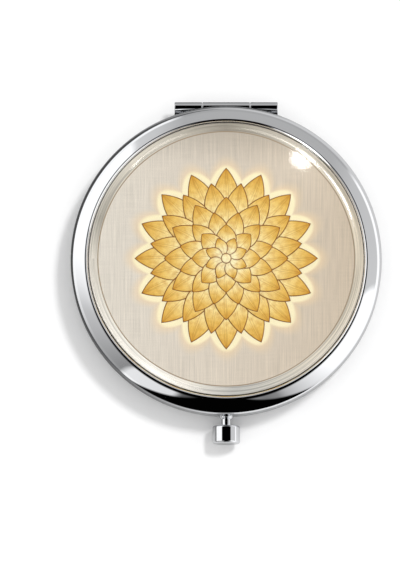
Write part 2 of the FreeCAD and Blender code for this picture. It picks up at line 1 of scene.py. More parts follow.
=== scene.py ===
"""Looks of a round compact mirror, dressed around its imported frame.

Sizes are in millimetres, as on a drawing, and become metres when a piece is finished. The hinge lies
towards +Y, the push knob towards -Y, and +Z points up through the closed lid.
"""
import logging
import math
from collections.abc import Callable
from dataclasses import dataclass
from enum import Enum
from functools import cached_property

import bmesh
import bpy
from bmesh.types import BMEdge, BMesh, BMVert
from bpy.types import ID, Material, Node, NodeSocket, NodeTree, Object
from mathutils import Matrix, Vector


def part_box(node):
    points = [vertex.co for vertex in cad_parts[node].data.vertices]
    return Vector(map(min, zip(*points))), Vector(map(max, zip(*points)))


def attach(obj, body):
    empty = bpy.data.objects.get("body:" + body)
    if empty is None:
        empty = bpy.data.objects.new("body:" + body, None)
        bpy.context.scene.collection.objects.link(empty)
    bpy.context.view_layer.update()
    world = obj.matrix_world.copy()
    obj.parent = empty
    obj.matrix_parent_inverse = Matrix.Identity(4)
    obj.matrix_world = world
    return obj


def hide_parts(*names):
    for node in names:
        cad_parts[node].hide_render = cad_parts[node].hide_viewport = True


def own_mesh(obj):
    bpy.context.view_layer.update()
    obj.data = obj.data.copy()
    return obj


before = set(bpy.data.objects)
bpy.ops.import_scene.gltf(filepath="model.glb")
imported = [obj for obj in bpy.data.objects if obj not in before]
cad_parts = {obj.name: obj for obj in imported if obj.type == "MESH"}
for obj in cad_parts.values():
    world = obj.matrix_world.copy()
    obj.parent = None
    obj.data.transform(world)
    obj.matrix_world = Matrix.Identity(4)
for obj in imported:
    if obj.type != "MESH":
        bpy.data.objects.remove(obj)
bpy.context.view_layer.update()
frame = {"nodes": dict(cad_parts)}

LOG = logging.getLogger("compact_mirror")
MM = 0.001
FULL_TURN = 2.0 * math.pi
TURNING_STEPS = 192
SMALL_TURNING_STEPS = 96
ARC_STEPS = 8
ROUNDING_STEPS = 3
WINDING_STEPS = 32
WIRE_SIDES = 12
DRILL_SIDES = 48
SAME_PLACE = 1e-4
ON_SURFACE = 0.01
CREASE_DEGREES = 38.0
CUT_BEYOND = 3.0
EDGE_DISTANCE = "edge_mm"
WHITE = (1.0, 1.0, 1.0, 1.0)
ORIGIN = Vector((0.0, 0.0, 0.0))
ALONG_X = Vector((1.0, 0.0, 0.0))
ALONG_Y = Vector((0.0, 1.0, 0.0))
ALONG_Z = Vector((0.0, 0.0, 1.0))

Point = tuple[float, float]
Span = tuple[float, float]
Place = tuple[float, float, float]
Stops = tuple[tuple[float, str], ...]
Polar = tuple[NodeSocket, NodeSocket]


class Body(Enum):
    """Moving bodies of the frame."""

    BASE = "base"
    LID = "lid"
    BUTTON = "button"


class Slot(Enum):
    """Material slots of the record."""

    CHROME = "polished_chrome"
    MIRROR = "mirror_glass"
    STEEL = "spring_steel"
    INSERT = "insert_metal"
    RESIN = "clear_resin"


# Colours and nodes

def linear(colour: str) -> tuple[float, float, float, float]:
    """Turn an sRGB hex colour into linear light.

    Args:
        colour: A colour such as "#C8B090".

    Returns:
        Red, green, blue and an alpha of 1.
    """
    parts = [int(colour[place:place + 2], 16) / 255.0 for place in (1, 3, 5)]
    light = [part / 12.92 if part <= 0.04045 else ((part + 0.055) / 1.055) ** 2.4 for part in parts]
    return (*light, 1.0)


def set_up(tree: NodeTree, node: Node, settings: dict, links: dict) -> None:
    """Give a node its settings and links.

    Args:
        tree: The node tree.
        node: One of its nodes.
        settings: Properties, ramp stops, ranges (from and to) or values of inputs, by name or number.
        links: What feeds inputs, by the inputs' name or number: a socket, or a node for its first output.
    """
    for name, value in settings.items():
        if name == "stops":
            ramp = node.color_ramp.elements
            while len(ramp) < len(value):
                ramp.new(1.0)
            for element, (position, colour) in zip(ramp, value):
                element.position = position
                element.color = linear(colour)
        elif name == "ranges":
            for side, span in zip(("From", "To"), value):
                node.inputs[side + " Min"].default_value = span[0]
                node.inputs[side + " Max"].default_value = span[1]
        elif isinstance(name, str) and hasattr(node, name):
            setattr(node, name, value)
        else:
            node.inputs[name].default_value = value
    for name, source in links.items():
        socket = source.outputs[0] if isinstance(source, Node) else source
        tree.links.new(socket, node.inputs[name])


def add_node(tree: NodeTree, kind: str, settings: dict | None = None,
             links: dict | None = None) -> Node:
    """Add a node with its settings and links.

    Args:
        tree: The node tree.
        kind: The node's type, without the prefix that all of them share.
        settings: Its settings, as set_up takes them.
        links: Its links, as set_up takes them.

    Returns:
        The new node.
    """
    node = tree.nodes.new("ShaderNode" + kind)
    set_up(tree, node, settings or {}, links or {})
    return node


# Finishes

@dataclass(frozen=True)
class Finish:
    """What every finish has: a material with one Principled shader, made once."""

    name: str

    @cached_property
    def material(self) -> Material:
        """Return the finish as a Blender material."""
        material = bpy.data.materials.new(self.name)
        material.use_nodes = True
        self.mix(material.node_tree, material.node_tree.nodes["Principled BSDF"])
        return material

    def mix(self, tree: NodeTree, shader: Node) -> None:
        """Set the shader up; each finish does so in its own way.

        Args:
            tree: The material's nodes.
            shader: Its Principled shader.
        """
        raise NotImplementedError


@dataclass(frozen=True)
class PolishedMetal(Finish):
    """Bright metal that was buffed: a clear mirror with a faint haze and a slight wave in the sheet."""

    colour: str = "#EDEEF0"
    clearest: float = 0.015
    haziest: float = 0.06
    haze_mm: float = 7.0
    haze_range: Span = (0.35, 0.75)
    wave_mm: float = 16.0
    wave_depth_mm: float = 0.02

    def mix(self, tree: NodeTree, shader: Node) -> None:
        """Set metal, haze and wave.

        Args:
            tree: The material's nodes.
            shader: Its Principled shader.
        """
        place = add_node(tree, "TexCoord").outputs["Object"]
        haze = add_node(tree, "TexNoise", {"Scale": 1.0 / (self.haze_mm * MM), "Detail": 4.0},
                        {"Vector": place})
        roughness = add_node(tree, "MapRange",
                             {"ranges": (self.haze_range, (self.clearest, self.haziest))},
                             {"Value": haze})
        wave = add_node(tree, "TexNoise", {"Scale": 1.0 / (self.wave_mm * MM), "Detail": 1.0},
                        {"Vector": place})
        bump = add_node(tree, "Bump", {"Distance": self.wave_depth_mm * MM, "Strength": 1.0},
                        {"Height": wave})
        set_up(tree, shader, {"Base Color": linear(self.colour), "Metallic": 1.0},
               {"Roughness": roughness, "Normal": bump})


@dataclass(frozen=True)
class SilveredGlass(Finish):
    """Float glass silvered on its back: a true mirror under a clear coat, with a breath of haze."""

    colour: str = "#D6DDDC"
    clearest: float = 0.0
    haziest: float = 0.035
    haze_mm: float = 11.0
    haze_range: Span = (0.45, 0.8)
    coat: float = 0.6
    coat_roughness: float = 0.01

    def mix(self, tree: NodeTree, shader: Node) -> None:
        """Set silver, glass coat and haze.

        Args:
            tree: The material's nodes.
            shader: Its Principled shader.
        """
        place = add_node(tree, "TexCoord").outputs["Object"]
        haze = add_node(tree, "TexNoise", {"Scale": 1.0 / (self.haze_mm * MM), "Detail": 5.0},
                        {"Vector": place})
        roughness = add_node(tree, "MapRange",
                             {"ranges": (self.haze_range, (self.clearest, self.haziest))},
                             {"Value": haze})
        set_up(tree, shader,
               {"Base Color": linear(self.colour), "Metallic": 1.0,
                "Coat Weight": self.coat, "Coat Roughness": self.coat_roughness},
               {"Roughness": roughness})


@dataclass(frozen=True)
class ClearResin(Finish):
    """Poured epoxy: clear as water and glossy, with a faint drag of fine scratches; lamps shine through."""

    colour: str = "#FFFEFB"
    refraction: float = 1.5
    clearest: float = 0.1
    haziest: float = 0.16
    scratch_mm: float = 2.5
    scratch_range: Span = (0.5, 0.8)

    def mix(self, tree: NodeTree, shader: Node) -> None:
        """Set glass that lets lamps and scattered light reach what lies under it.

        Args:
            tree: The material's nodes.
            shader: Its Principled shader.
        """
        place = add_node(tree, "TexCoord").outputs["Object"]
        scratches = add_node(tree, "TexNoise",
                             {"Scale": 1.0 / (self.scratch_mm * MM), "Detail": 3.0}, {"Vector": place})
        roughness = add_node(tree, "MapRange",
                             {"ranges": (self.scratch_range, (self.clearest, self.haziest))},
                             {"Value": scratches})
        set_up(tree, shader,
               {"Base Color": linear(self.colour), "IOR": self.refraction, "Transmission Weight": 1.0},
               {"Roughness": roughness})
        rays = add_node(tree, "LightPath")
        passing = add_node(tree, "Math", {"operation": "MAXIMUM"},
                           {0: rays.outputs["Is Shadow Ray"], 1: rays.outputs["Is Diffuse Ray"]})
        clear = add_node(tree, "BsdfTransparent", {"Color": linear(self.colour)})
        mixed = add_node(tree, "MixShader", None, {0: passing, 1: shader, 2: clear})
        tree.links.new(mixed.outputs[0], tree.nodes["Material Output"].inputs["Surface"])


@dataclass(frozen=True)
class SatinFoil(Finish):
    """Champagne foil on aluminium, brushed up and down with a faint cross grain, under a printed halo."""

    left_to_right: Stops = ((0.0, "#DFD9D0"), (0.45, "#D8CEC1"), (1.0, "#CFC0AD"))
    half_width_mm: float = 29.4
    # Painted shadow: the foil darkens towards the top, as if the rim shaded it.
    painted_top_shadow: float = 0.76
    painted_top_shadow_mm: Span = (20.0, 30.0)
    # Real brushing is too fine to show in the picture, so its streaks are drawn about a pixel wide.
    streak_mm: float = 0.19
    streak_length_mm: float = 10.0
    cross_mm: float = 0.26
    cross_length_mm: float = 6.0
    cross_share: float = 0.25
    grain_range: Span = (0.3, 0.7)
    grain_tones: Span = (0.86, 1.14)
    grain_roughness: Span = (0.36, 0.5)
    grain_depth_mm: float = 0.01
    grain_relief: float = 0.6
    metallic: float = 0.15
    # Painted reflections and painted shade of the dome's edge, by angle round the rim from the left: bright
    # lower left and upper left, dark at the top.
    painted_rim_reflections_and_shade: Stops = (
        (0.0, "#DED8CE"), (0.16, "#FFFCF6"), (0.2, "#FCF7EE"), (0.26, "#C8C8C6"), (0.36, "#E7E0D3"),
        (0.55, "#E5D9C5"), (0.65, "#E1D9CB"), (0.75, "#A09A8F"), (0.87, "#F0E9DC"), (0.95, "#B6B1A7"),
        (1.0, "#DED8CE"),
    )
    border_mm: float = 28.8
    border_soft_mm: float = 0.1
    # Streaks painted round the rim as reflections in the dome's edge.
    painted_streak_mm: float = 0.22
    painted_streak_range: Span = (0.38, 0.56)
    painted_streak_tones: Span = (0.62, 1.0)
    edge_line: str = "#A08E78"
    edge_line_mm: float = 0.22
    halo_valley_mm: float = 17.3
    halo_tip_mm: float = 20.4
    halo_petals: int = 16
    halo_warm: str = "#F3D8AE"
    halo_warm_mm: float = 3.6
    halo_warm_share: float = 0.6
    halo_bright: str = "#FFF6CF"
    halo_bright_mm: float = 1.15
    halo_bright_share: float = 0.9

    def mix(self, tree: NodeTree, shader: Node) -> None:
        """Set grain, colour drift, painted top shadow, halo, printed line and painted rim reflections.

        Args:
            tree: The material's nodes.
            shader: Its Principled shader.
        """
        place = add_node(tree, "TexCoord").outputs["Object"]
        axes = add_node(tree, "SeparateXYZ", None, {0: place})
        flat = add_node(tree, "CombineXYZ", None, {0: axes.outputs["X"], 1: axes.outputs["Y"]})
        length = add_node(tree, "VectorMath", {"operation": "LENGTH"}, {0: flat})
        angle = add_node(tree, "Math", {"operation": "ARCTAN2"},
                         {0: axes.outputs["Y"], 1: axes.outputs["X"]})
        polar = (angle.outputs[0], length.outputs["Value"])
        grain = self.grain(tree, place)
        colour = self.brushed(tree, axes, grain)
        colour = self.haloed(tree, polar, colour)
        colour = self.bordered(tree, polar, colour)
        roughness = add_node(tree, "MapRange", {"ranges": (self.grain_range, self.grain_roughness)},
                             {"Value": grain})
        bump = add_node(tree, "Bump",
                        {"Distance": self.grain_depth_mm * MM, "Strength": self.grain_relief},
                        {"Height": grain})
        set_up(tree, shader, {"Metallic": self.metallic},
               {"Base Color": colour, "Roughness": roughness, "Normal": bump})

    def grain(self, tree: NodeTree, place: NodeSocket) -> NodeSocket:
        """Lay long streaks over a fainter cross grain.

        Args:
            tree: The material's nodes.
            place: Object coordinates.

        Returns:
            The grain, most of it within grain_range.
        """
        layers = []
        for across, along in ((self.streak_mm, self.streak_length_mm),
                              (self.cross_length_mm, self.cross_mm)):
            spacing = (1.0 / (across * MM), 1.0 / (along * MM), 0.0)
            stretched = add_node(tree, "VectorMath", {"operation": "MULTIPLY", 1: spacing}, {0: place})
            layers.append(add_node(tree, "TexNoise", {"Scale": 1.0, "Detail": 2.0},
                                   {"Vector": stretched}))
        both = add_node(tree, "Mix", {"data_type": "FLOAT", 0: self.cross_share},
                        {2: layers[0], 3: layers[1]})
        return both.outputs[0]

    def brushed(self, tree: NodeTree, axes: Node, grain: NodeSocket) -> NodeSocket:
        """Colour the foil, which drifts from left to right and shows its grain, under a painted shadow at
        the top.

        Args:
            tree: The material's nodes.
            axes: Node with the place's X and Y.
            grain: The brushed grain.

        Returns:
            The foil's colour.
        """
        edge = self.half_width_mm * MM
        across = add_node(tree, "MapRange", {"ranges": ((-edge, edge), (0.0, 1.0))},
                          {"Value": axes.outputs["X"]})
        drift = add_node(tree, "ValToRGB", {"stops": self.left_to_right}, {0: across})
        tone = add_node(tree, "MapRange", {"ranges": (self.grain_range, self.grain_tones)},
                        {"Value": grain})
        # Painted shadow: the foil is darkened towards the top, and shade multiplies it into the grain's
        # tone.
        start, end = self.painted_top_shadow_mm
        top = add_node(tree, "MapRange",
                       {"interpolation_type": "SMOOTHSTEP",
                        "ranges": ((start * MM, end * MM), (1.0, self.painted_top_shadow))},
                       {"Value": axes.outputs["Y"]})
        shade = add_node(tree, "Math", {"operation": "MULTIPLY"}, {0: tone, 1: top})
        shaded = add_node(tree, "Mix", {"data_type": "RGBA", "blend_type": "MULTIPLY", 0: 1.0},
                          {6: drift, 7: shade})
        return shaded.outputs[2]

    def haloed(self, tree: NodeTree, polar: Polar, under: NodeSocket) -> NodeSocket:
        """Print a warm halo that follows the tips of the rosette.

        Args:
            tree: The material's nodes.
            polar: Angle and distance from the disc's centre.
            under: Colour of the foil.

        Returns:
            The foil's colour with the halo.
        """
        angle, radius = polar
        phase = add_node(tree, "Math", {"operation": "MULTIPLY", 1: self.halo_petals / 2.0}, {0: angle})
        lobe = add_node(tree, "Math", {"operation": "COSINE"}, {0: phase})
        size = add_node(tree, "Math", {"operation": "ABSOLUTE"}, {0: lobe})
        reach = add_node(tree, "MapRange",
                         {"ranges": ((0.0, 1.0), (self.halo_valley_mm * MM, self.halo_tip_mm * MM))},
                         {"Value": size})
        beyond = add_node(tree, "Math", {"operation": "SUBTRACT"}, {0: radius, 1: reach})
        colour = under
        for tone, width, share in ((self.halo_warm, self.halo_warm_mm, self.halo_warm_share),
                                   (self.halo_bright, self.halo_bright_mm, self.halo_bright_share)):
            fade = ((0.0, width * MM), (share, 0.0))
            glow = add_node(tree, "MapRange", {"interpolation_type": "SMOOTHSTEP", "ranges": fade},
                            {"Value": beyond})
            mixed = add_node(tree, "Mix", {"data_type": "RGBA", 7: linear(tone)}, {0: glow, 6: colour})
            colour = mixed.outputs[2]
        return colour

    def bordered(self, tree: NodeTree, polar: Polar, under: NodeSocket) -> NodeSocket:
        """Draw a thin printed line, and outside it the painted reflections and painted shade of the dome's
        edge, streaked round the rim.

        Args:
            tree: The material's nodes.
            polar: Angle and distance from the disc's centre.
            under: Colour inside the border.

        Returns:
            The colour with the line and the painted reflections.
        """
        angle, radius = polar
        # Outside the printed line: painted reflections and painted shade of the dome's edge, with painted
        # streaks round the rim.
        lane = add_node(tree, "Math",
                        {"operation": "MULTIPLY", 1: 1.0 / (self.painted_streak_mm * MM)}, {0: radius})
        track = add_node(tree, "CombineXYZ", None, {0: lane, 1: angle})
        streaks = add_node(tree, "TexNoise", {"Scale": 1.0, "Detail": 2.0}, {"Vector": track})
        lines = add_node(tree, "MapRange",
                         {"ranges": (self.painted_streak_range, self.painted_streak_tones)},
                         {"Value": streaks})
        share = add_node(tree, "MapRange", {"ranges": ((-math.pi, math.pi), (0.0, 1.0))},
                         {"Value": angle})
        pale = add_node(tree, "ValToRGB", {"stops": self.painted_rim_reflections_and_shade}, {0: share})
        painted_margin = add_node(tree, "Mix", {"data_type": "RGBA", "blend_type": "MULTIPLY", 0: 1.0},
                          {6: pale, 7: lines})
        start = self.border_mm * MM
        outside = add_node(tree, "MapRange",
                           {"ranges": ((start, start + self.border_soft_mm * MM), (0.0, 1.0))},
                           {"Value": radius})
        edged = add_node(tree, "Mix", {"data_type": "RGBA"},
                         {0: outside, 6: under, 7: painted_margin.outputs[2]})
        half_line = self.edge_line_mm * MM / 2.0
        on_line = add_node(tree, "Math", {"operation": "COMPARE", 1: start, 2: half_line}, {0: radius})
        lined = add_node(tree, "Mix", {"data_type": "RGBA", 7: linear(self.edge_line)},
                         {0: on_line, 6: edged.outputs[2]})
        return lined.outputs[2]


@dataclass(frozen=True)
class GoldInk(Finish):
    """Gold screen ink: pale at a petal's root and deep at its tip, with fine veins and a brown outline."""

    root_to_tip: Stops = ((0.3, "#FCF3C6"), (0.55, "#F7E09A"), (0.76, "#ECC566"), (0.93, "#DAA640"),
                          (1.0, "#B27420"))
    outline: str = "#7C3C00"
    outline_mm: Span = (0.11, 0.29)
    vein: str = "#A86A14"
    vein_range: Span = (0.52, 0.66)
    vein_share: float = 0.5
    veins_across: float = 21.0
    veins_along: float = 1.6
    deep: str = "#D29A34"
    mottle_mm: float = 1.1
    mottle_range: Span = (0.42, 0.68)
    mottle_share: float = 0.5
    roughness: float = 0.42
    metallic: float = 0.1

    def mix(self, tree: NodeTree, shader: Node) -> None:
        """Set the gold, its veins and its outline from the petal's own map.

        Args:
            tree: The material's nodes.
            shader: Its Principled shader.
        """
        places = add_node(tree, "TexCoord")
        petal = add_node(tree, "SeparateXYZ", None, {0: places.outputs["UV"]})
        gold = add_node(tree, "ValToRGB", {"stops": self.root_to_tip}, {0: petal.outputs["Y"]})
        mottle = add_node(tree, "TexNoise",
                          {"Scale": 1.0 / (self.mottle_mm * MM), "Detail": 4.0},
                          {"Vector": places.outputs["Object"]})
        stretched = add_node(tree, "VectorMath",
                             {"operation": "MULTIPLY", 1: (self.veins_across, self.veins_along, 0.0)},
                             {0: places.outputs["UV"]})
        lines = add_node(tree, "TexNoise", {"Scale": 1.0, "Detail": 3.0}, {"Vector": stretched})
        inside = add_node(tree, "Attribute", {"attribute_name": EDGE_DISTANCE})
        colour = gold.outputs[0]
        for tone, source, span, shares in (
                (self.deep, mottle.outputs[0], self.mottle_range, (0.0, self.mottle_share)),
                (self.vein, lines.outputs[0], self.vein_range, (0.0, self.vein_share)),
                (self.outline, inside.outputs["Fac"], self.outline_mm, (1.0, 0.0))):
            share = add_node(tree, "MapRange", {"ranges": (span, shares)}, {"Value": source})
            mixed = add_node(tree, "Mix", {"data_type": "RGBA", 7: linear(tone)}, {0: share, 6: colour})
            colour = mixed.outputs[2]
        set_up(tree, shader, {"Roughness": self.roughness, "Metallic": self.metallic},
               {"Base Color": colour})


@dataclass(frozen=True)
class SpottedMatter(Finish):
    """Dull stuff with cells or specks, such as foam tape or a layer of glue."""

    colour: str = "#DDDDD6"
    dark_colour: str = "#C4C4BC"
    cell_mm: float = 0.35
    cell_range: Span = (0.2, 0.6)
    roughness: float = 0.85
    relief_mm: float = 0.05
    relief: float = 0.8

    def mix(self, tree: NodeTree, shader: Node) -> None:
        """Set colour and relief from the cells.

        Args:
            tree: The material's nodes.
            shader: Its Principled shader.
        """
        place = add_node(tree, "TexCoord").outputs["Object"]
        cells = add_node(tree, "TexVoronoi", {"Scale": 1.0 / (self.cell_mm * MM)}, {"Vector": place})
        stops = tuple(zip(self.cell_range, (self.dark_colour, self.colour)))
        tone = add_node(tree, "ValToRGB", {"stops": stops}, {0: cells})
        bump = add_node(tree, "Bump", {"Distance": self.relief_mm * MM, "Strength": self.relief},
                        {"Height": cells})
        set_up(tree, shader, {"Roughness": self.roughness}, {"Base Color": tone, "Normal": bump})


@dataclass(frozen=True)
class MattPaper(Finish):
    """White paper of the floor: matt to the eye, with painted shade and painted light in the tones that the
    chrome shows.
    """

    colour: str = "#FDFDFD"
    # Tones that only rays off the chrome see: painted shade, darkest to the left and round the hinge, and
    # painted light in front.
    painted_mirror_shade: Stops = ((0.0, "#4A4A4A"), (0.45, "#B4B4B4"), (1.0, "#CCCCCC"))
    mirrored_half_mm: float = 45.0
    hinge_shade: float = 0.18
    hinge_shade_place_mm: Place = (0.0, 60.0, 0.0)
    hinge_shade_mm: Span = (12.0, 26.0)
    front_light: float = 1.5
    front_mm: Span = (-30.0, -42.0)

    def mix(self, tree: NodeTree, shader: Node) -> None:
        """Set the white, and for rays off the chrome the painted shade and light.

        Args:
            tree: The material's nodes.
            shader: Its Principled shader.
        """
        place = add_node(tree, "TexCoord").outputs["Object"]
        axes = add_node(tree, "SeparateXYZ", None, {0: place})
        edge = self.mirrored_half_mm * MM
        across = add_node(tree, "MapRange", {"ranges": ((-edge, edge), (0.0, 1.0))},
                          {"Value": axes.outputs["X"]})
        painted_mirror_shade = add_node(tree, "ValToRGB", {"stops": self.painted_mirror_shade}, {0: across})
        # Painted shade round the hinge and painted light in front, for rays off the chrome.
        away = add_node(tree, "VectorMath",
                        {"operation": "DISTANCE", 1: Vector(self.hinge_shade_place_mm) * MM}, {0: place})
        levels = []
        for source, span, light in (
                (away.outputs["Value"], self.hinge_shade_mm, (self.hinge_shade, 1.0)),
                (axes.outputs["Y"], self.front_mm, (1.0, self.front_light))):
            ranges = ((span[0] * MM, span[1] * MM), light)
            levels.append(add_node(tree, "MapRange", {"ranges": ranges}, {"Value": source}))
        level = add_node(tree, "Math", {"operation": "MULTIPLY"}, {0: levels[0], 1: levels[1]})
        dimmed = add_node(tree, "Mix", {"data_type": "RGBA", "blend_type": "MULTIPLY", 0: 1.0},
                          {6: painted_mirror_shade, 7: level})
        rays = add_node(tree, "LightPath")
        colour = add_node(tree, "Mix", {"data_type": "RGBA", 6: linear(self.colour)},
                          {0: rays.outputs["Is Glossy Ray"], 7: dimmed.outputs[2]})
        set_up(tree, shader, {"Roughness": 1.0, "Specular IOR Level": 0.0},
               {"Base Color": colour.outputs[2]})


@dataclass(frozen=True)
class Finishes:
    """All finishes of the compact and of the floor."""

    chrome: Finish = PolishedMetal("polished chrome plate")
    frame: Finish = PolishedMetal("soft chrome plate", "#D2D4D7", clearest=0.09, haziest=0.17)
    steel: Finish = PolishedMetal("bright spring steel", "#B9BABD", clearest=0.18, haziest=0.34,
                                  haze_mm=1.2, wave_mm=3.0, wave_depth_mm=0.01)
    mirror: Finish = SilveredGlass("silvered float glass")
    resin: Finish = ClearResin("clear epoxy")
    foil: Finish = SatinFoil("brushed champagne foil")
    gold: Finish = GoldInk("gold screen ink")
    foam: Finish = SpottedMatter("foam tape")
    glue: Finish = SpottedMatter("dried adhesive", "#E9E6DC", "#D8D4C6", cell_mm=0.9, roughness=0.6)
    paper: Finish = MattPaper("matt white paper")


# Modelling

@dataclass(frozen=True)
class Plane:
    """A drawing plane, whose points are measured along across and up from origin."""

    origin: Vector
    across: Vector
    up: Vector

    def place(self, point: Point) -> Vector:
        """Return a point of the plane in space."""
        return self.origin + self.across * point[0] + self.up * point[1]

    @property
    def normal(self) -> Vector:
        """Return the axis about which across turns towards up."""
        return self.across.cross(self.up)


UPRIGHT = Plane(ORIGIN, ALONG_X, ALONG_Z)
SIDE_VIEW = Plane(ORIGIN, ALONG_Y, ALONG_Z)


def closed(mesh: BMesh) -> BMesh:
    """Merge what lies in one place and turn all faces outwards."""
    bmesh.ops.remove_doubles(mesh, verts=mesh.verts[:], dist=SAME_PLACE)
    bmesh.ops.recalc_face_normals(mesh, faces=mesh.faces[:])
    return mesh


class Outline:
    """A line drawn from point to point on a plane, then turned or pulled into a solid."""

    def __init__(self, plane: Plane, start: Point) -> None:
        """Start the line at a point."""
        self.plane = plane
        self.mesh = bmesh.new()
        self.first = self.mesh.verts.new(plane.place(start))
        self.last = self.first
        self.point = start

    def line(self, *points: Point) -> "Outline":
        """Go straight on to each point in turn.

        Args:
            points: The points.

        Returns:
            The outline itself.
        """
        for point in points:
            made = bmesh.ops.extrude_vert_indiv(self.mesh, verts=[self.last])
            self.last = made["verts"][0]
            self.last.co = self.plane.place(point)
            self.point = point
        return self

    def curl(self, centre: Point, degrees: float, steps: int) -> "Outline":
        """Go on round a centre.

        Args:
            centre: The centre of the arc.
            degrees: The angle, positive from across towards up.
            steps: The number of edges.

        Returns:
            The outline itself.
        """
        made = bmesh.ops.spin(self.mesh, geom=[self.last], cent=self.plane.place(centre),
                              axis=self.plane.normal, angle=math.radians(degrees), steps=steps)
        self.last = next(item for item in made["geom_last"] if isinstance(item, BMVert))
        away = self.last.co - self.plane.origin
        self.point = (away.dot(self.plane.across), away.dot(self.plane.up))
        return self

    def arc(self, end: Point, centre: Point, steps: int = ARC_STEPS) -> "Outline":
        """Go on to a point by the shorter arc round a centre.

        Args:
            end: The arc's end.
            centre: Its centre.
            steps: The number of edges.

        Returns:
            The outline itself.
        """
        start_angle = math.atan2(self.point[1] - centre[1], self.point[0] - centre[0])
        end_angle = math.atan2(end[1] - centre[1], end[0] - centre[0])
        sweep = (end_angle - start_angle + math.pi) % FULL_TURN - math.pi
        self.curl(centre, math.degrees(sweep), steps)
        self.last.co = self.plane.place(end)
        self.point = end
        return self

    def round_end(self, start: float, stop: float, level: float, radius: float) -> "Outline":
        """Go round the end of an upright wall, whose two edges are rounded.

        Args:
            start: Where the wall's first face lies.
            stop: Where its other face lies.
            level: The height of the wall's end.
            radius: Radius of the rounding, negative where the wall ends downwards.

        Returns:
            The outline itself.
        """
        shoulder = level - radius
        inwards = math.copysign(radius, stop - start)
        self.line((start, shoulder)).arc((start + inwards, level), (start + inwards, shoulder))
        self.line((stop - inwards, level)).arc((stop, shoulder), (stop - inwards, shoulder))
        return self

    def close(self) -> "Outline":
        """Join the line's end to its start."""
        self.mesh.edges.new((self.last, self.first))
        return self

    def turned(self, axis: Vector, steps: int = TURNING_STEPS) -> BMesh:
        """Turn the line once round an axis through the plane's origin.

        Args:
            axis: The axis.
            steps: The number of faces round it.

        Returns:
            The closed solid.
        """
        bmesh.ops.spin(self.mesh, geom=self.mesh.verts[:] + self.mesh.edges[:], cent=self.plane.origin,
                       axis=axis, angle=FULL_TURN, steps=steps, use_merge=True)
        return closed(self.mesh)

    def pulled(self, width: float) -> BMesh:
        """Fill the closed line and pull it out to both sides of its plane.

        Args:
            width: The whole width.

        Returns:
            The closed solid.
        """
        normal = self.plane.normal
        bmesh.ops.translate(self.mesh, verts=self.mesh.verts[:], vec=normal * (-width / 2.0))
        bmesh.ops.contextual_create(self.mesh, geom=self.mesh.edges[:])
        made = bmesh.ops.extrude_face_region(self.mesh, geom=self.mesh.faces[:])
        moved = [item for item in made["geom"] if isinstance(item, BMVert)]
        bmesh.ops.translate(self.mesh, verts=moved, vec=normal * width)
        return closed(self.mesh)


def block(low: Place, high: Place) -> BMesh:
    """Make a plain block, as a cutter.

    Args:
        low: Its lowest corner.
        high: Its highest corner.

    Returns:
        The block.
    """
    size = Vector(high) - Vector(low)
    middle = (Vector(high) + Vector(low)) / 2.0
    mesh = bmesh.new()
    shape = Matrix.Translation(middle) @ Matrix.Diagonal((*size, 1.0))
    bmesh.ops.create_cube(mesh, size=1.0, matrix=shape)
    return mesh


def add_object(name: str, data: ID) -> Object:
    """Put a mesh, a lamp or a camera into the scene as an object."""
    added = bpy.data.objects.new(name, data)
    bpy.context.scene.collection.objects.link(added)
    return added


def show(name: str, mesh: BMesh) -> Object:
    """Put a mesh into the scene as an object.

    Args:
        name: The object's name.
        mesh: The mesh, which is used up.

    Returns:
        The object.
    """
    data = bpy.data.meshes.new(name)
    mesh.to_mesh(data)
    mesh.free()
    return add_object(name, data)


def cut_away(solid: BMesh, *cutters: BMesh) -> BMesh:
    """Take cutters out of a solid.

    Args:
        solid: The solid.
        cutters: Closed solids to take away.

    Returns:
        What is left.
    """
    whole = show("whole", solid)
    tools = [show("cutter", cutter) for cutter in cutters]
    for tool in tools:
        cut = whole.modifiers.new("cut", "BOOLEAN")
        cut.operation = "DIFFERENCE"
        cut.solver = "EXACT"
        cut.object = tool
    left = bmesh.new()
    left.from_object(whole, bpy.context.evaluated_depsgraph_get())
    for used in (whole, *tools):
        bpy.data.objects.remove(used)
    return closed(left)


def round_edges(mesh: BMesh, radius: float, wanted: Callable[[BMEdge], bool],
                segments: int = ROUNDING_STEPS) -> BMesh:
    """Round the edges that a test picks.

    Args:
        mesh: The solid.
        radius: Width of the rounding.
        wanted: The test.
        segments: Faces across the rounding.

    Returns:
        The same solid.
    """
    edges = [edge for edge in mesh.edges if wanted(edge)]
    bmesh.ops.bevel(mesh, geom=edges, offset=radius, segments=segments, profile=0.5, affect="EDGES",
                    material=-1, clamp_overlap=True)
    return mesh


def is_corner(edge: BMEdge) -> bool:
    """Tell whether an edge is a sharp outer corner."""
    return edge.is_convex and edge.calc_face_angle(0.0) > math.radians(CREASE_DEGREES)


def finish_piece(mesh: BMesh, name: str, finish: Finish, body: Body,
                 node: str | None = None) -> Object:
    """Make a modelled solid a piece of the compact.

    Args:
        mesh: The solid in millimetres, which is used up.
        name: The piece's name.
        finish: Its finish.
        body: The body that it moves with.
        node: The frame's node that it stands for.

    Returns:
        The piece.
    """
    bmesh.ops.scale(mesh, vec=(MM, MM, MM), verts=mesh.verts[:])
    for face in mesh.faces:
        face.smooth = True
    piece = show(name, mesh)
    piece.data.set_sharp_from_angle(angle=math.radians(CREASE_DEGREES))
    piece.data.materials.append(finish.material)
    even = piece.modifiers.new("even_shading", "WEIGHTED_NORMAL")
    even.keep_sharp = True
    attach(piece, body.value)
    if node is not None:
        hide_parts(node)
    LOG.info("%s: %d faces, on %s", name, len(piece.data.polygons), body.value)
    return piece


def dress_node(node: str, finish: Finish) -> None:
    """Give a node of the frame its finish."""
    for slot in frame["nodes"][node].material_slots:
        slot.material = finish.material
    LOG.info("%s: dressed as %s", node, finish.name)


# Sub-assemblies

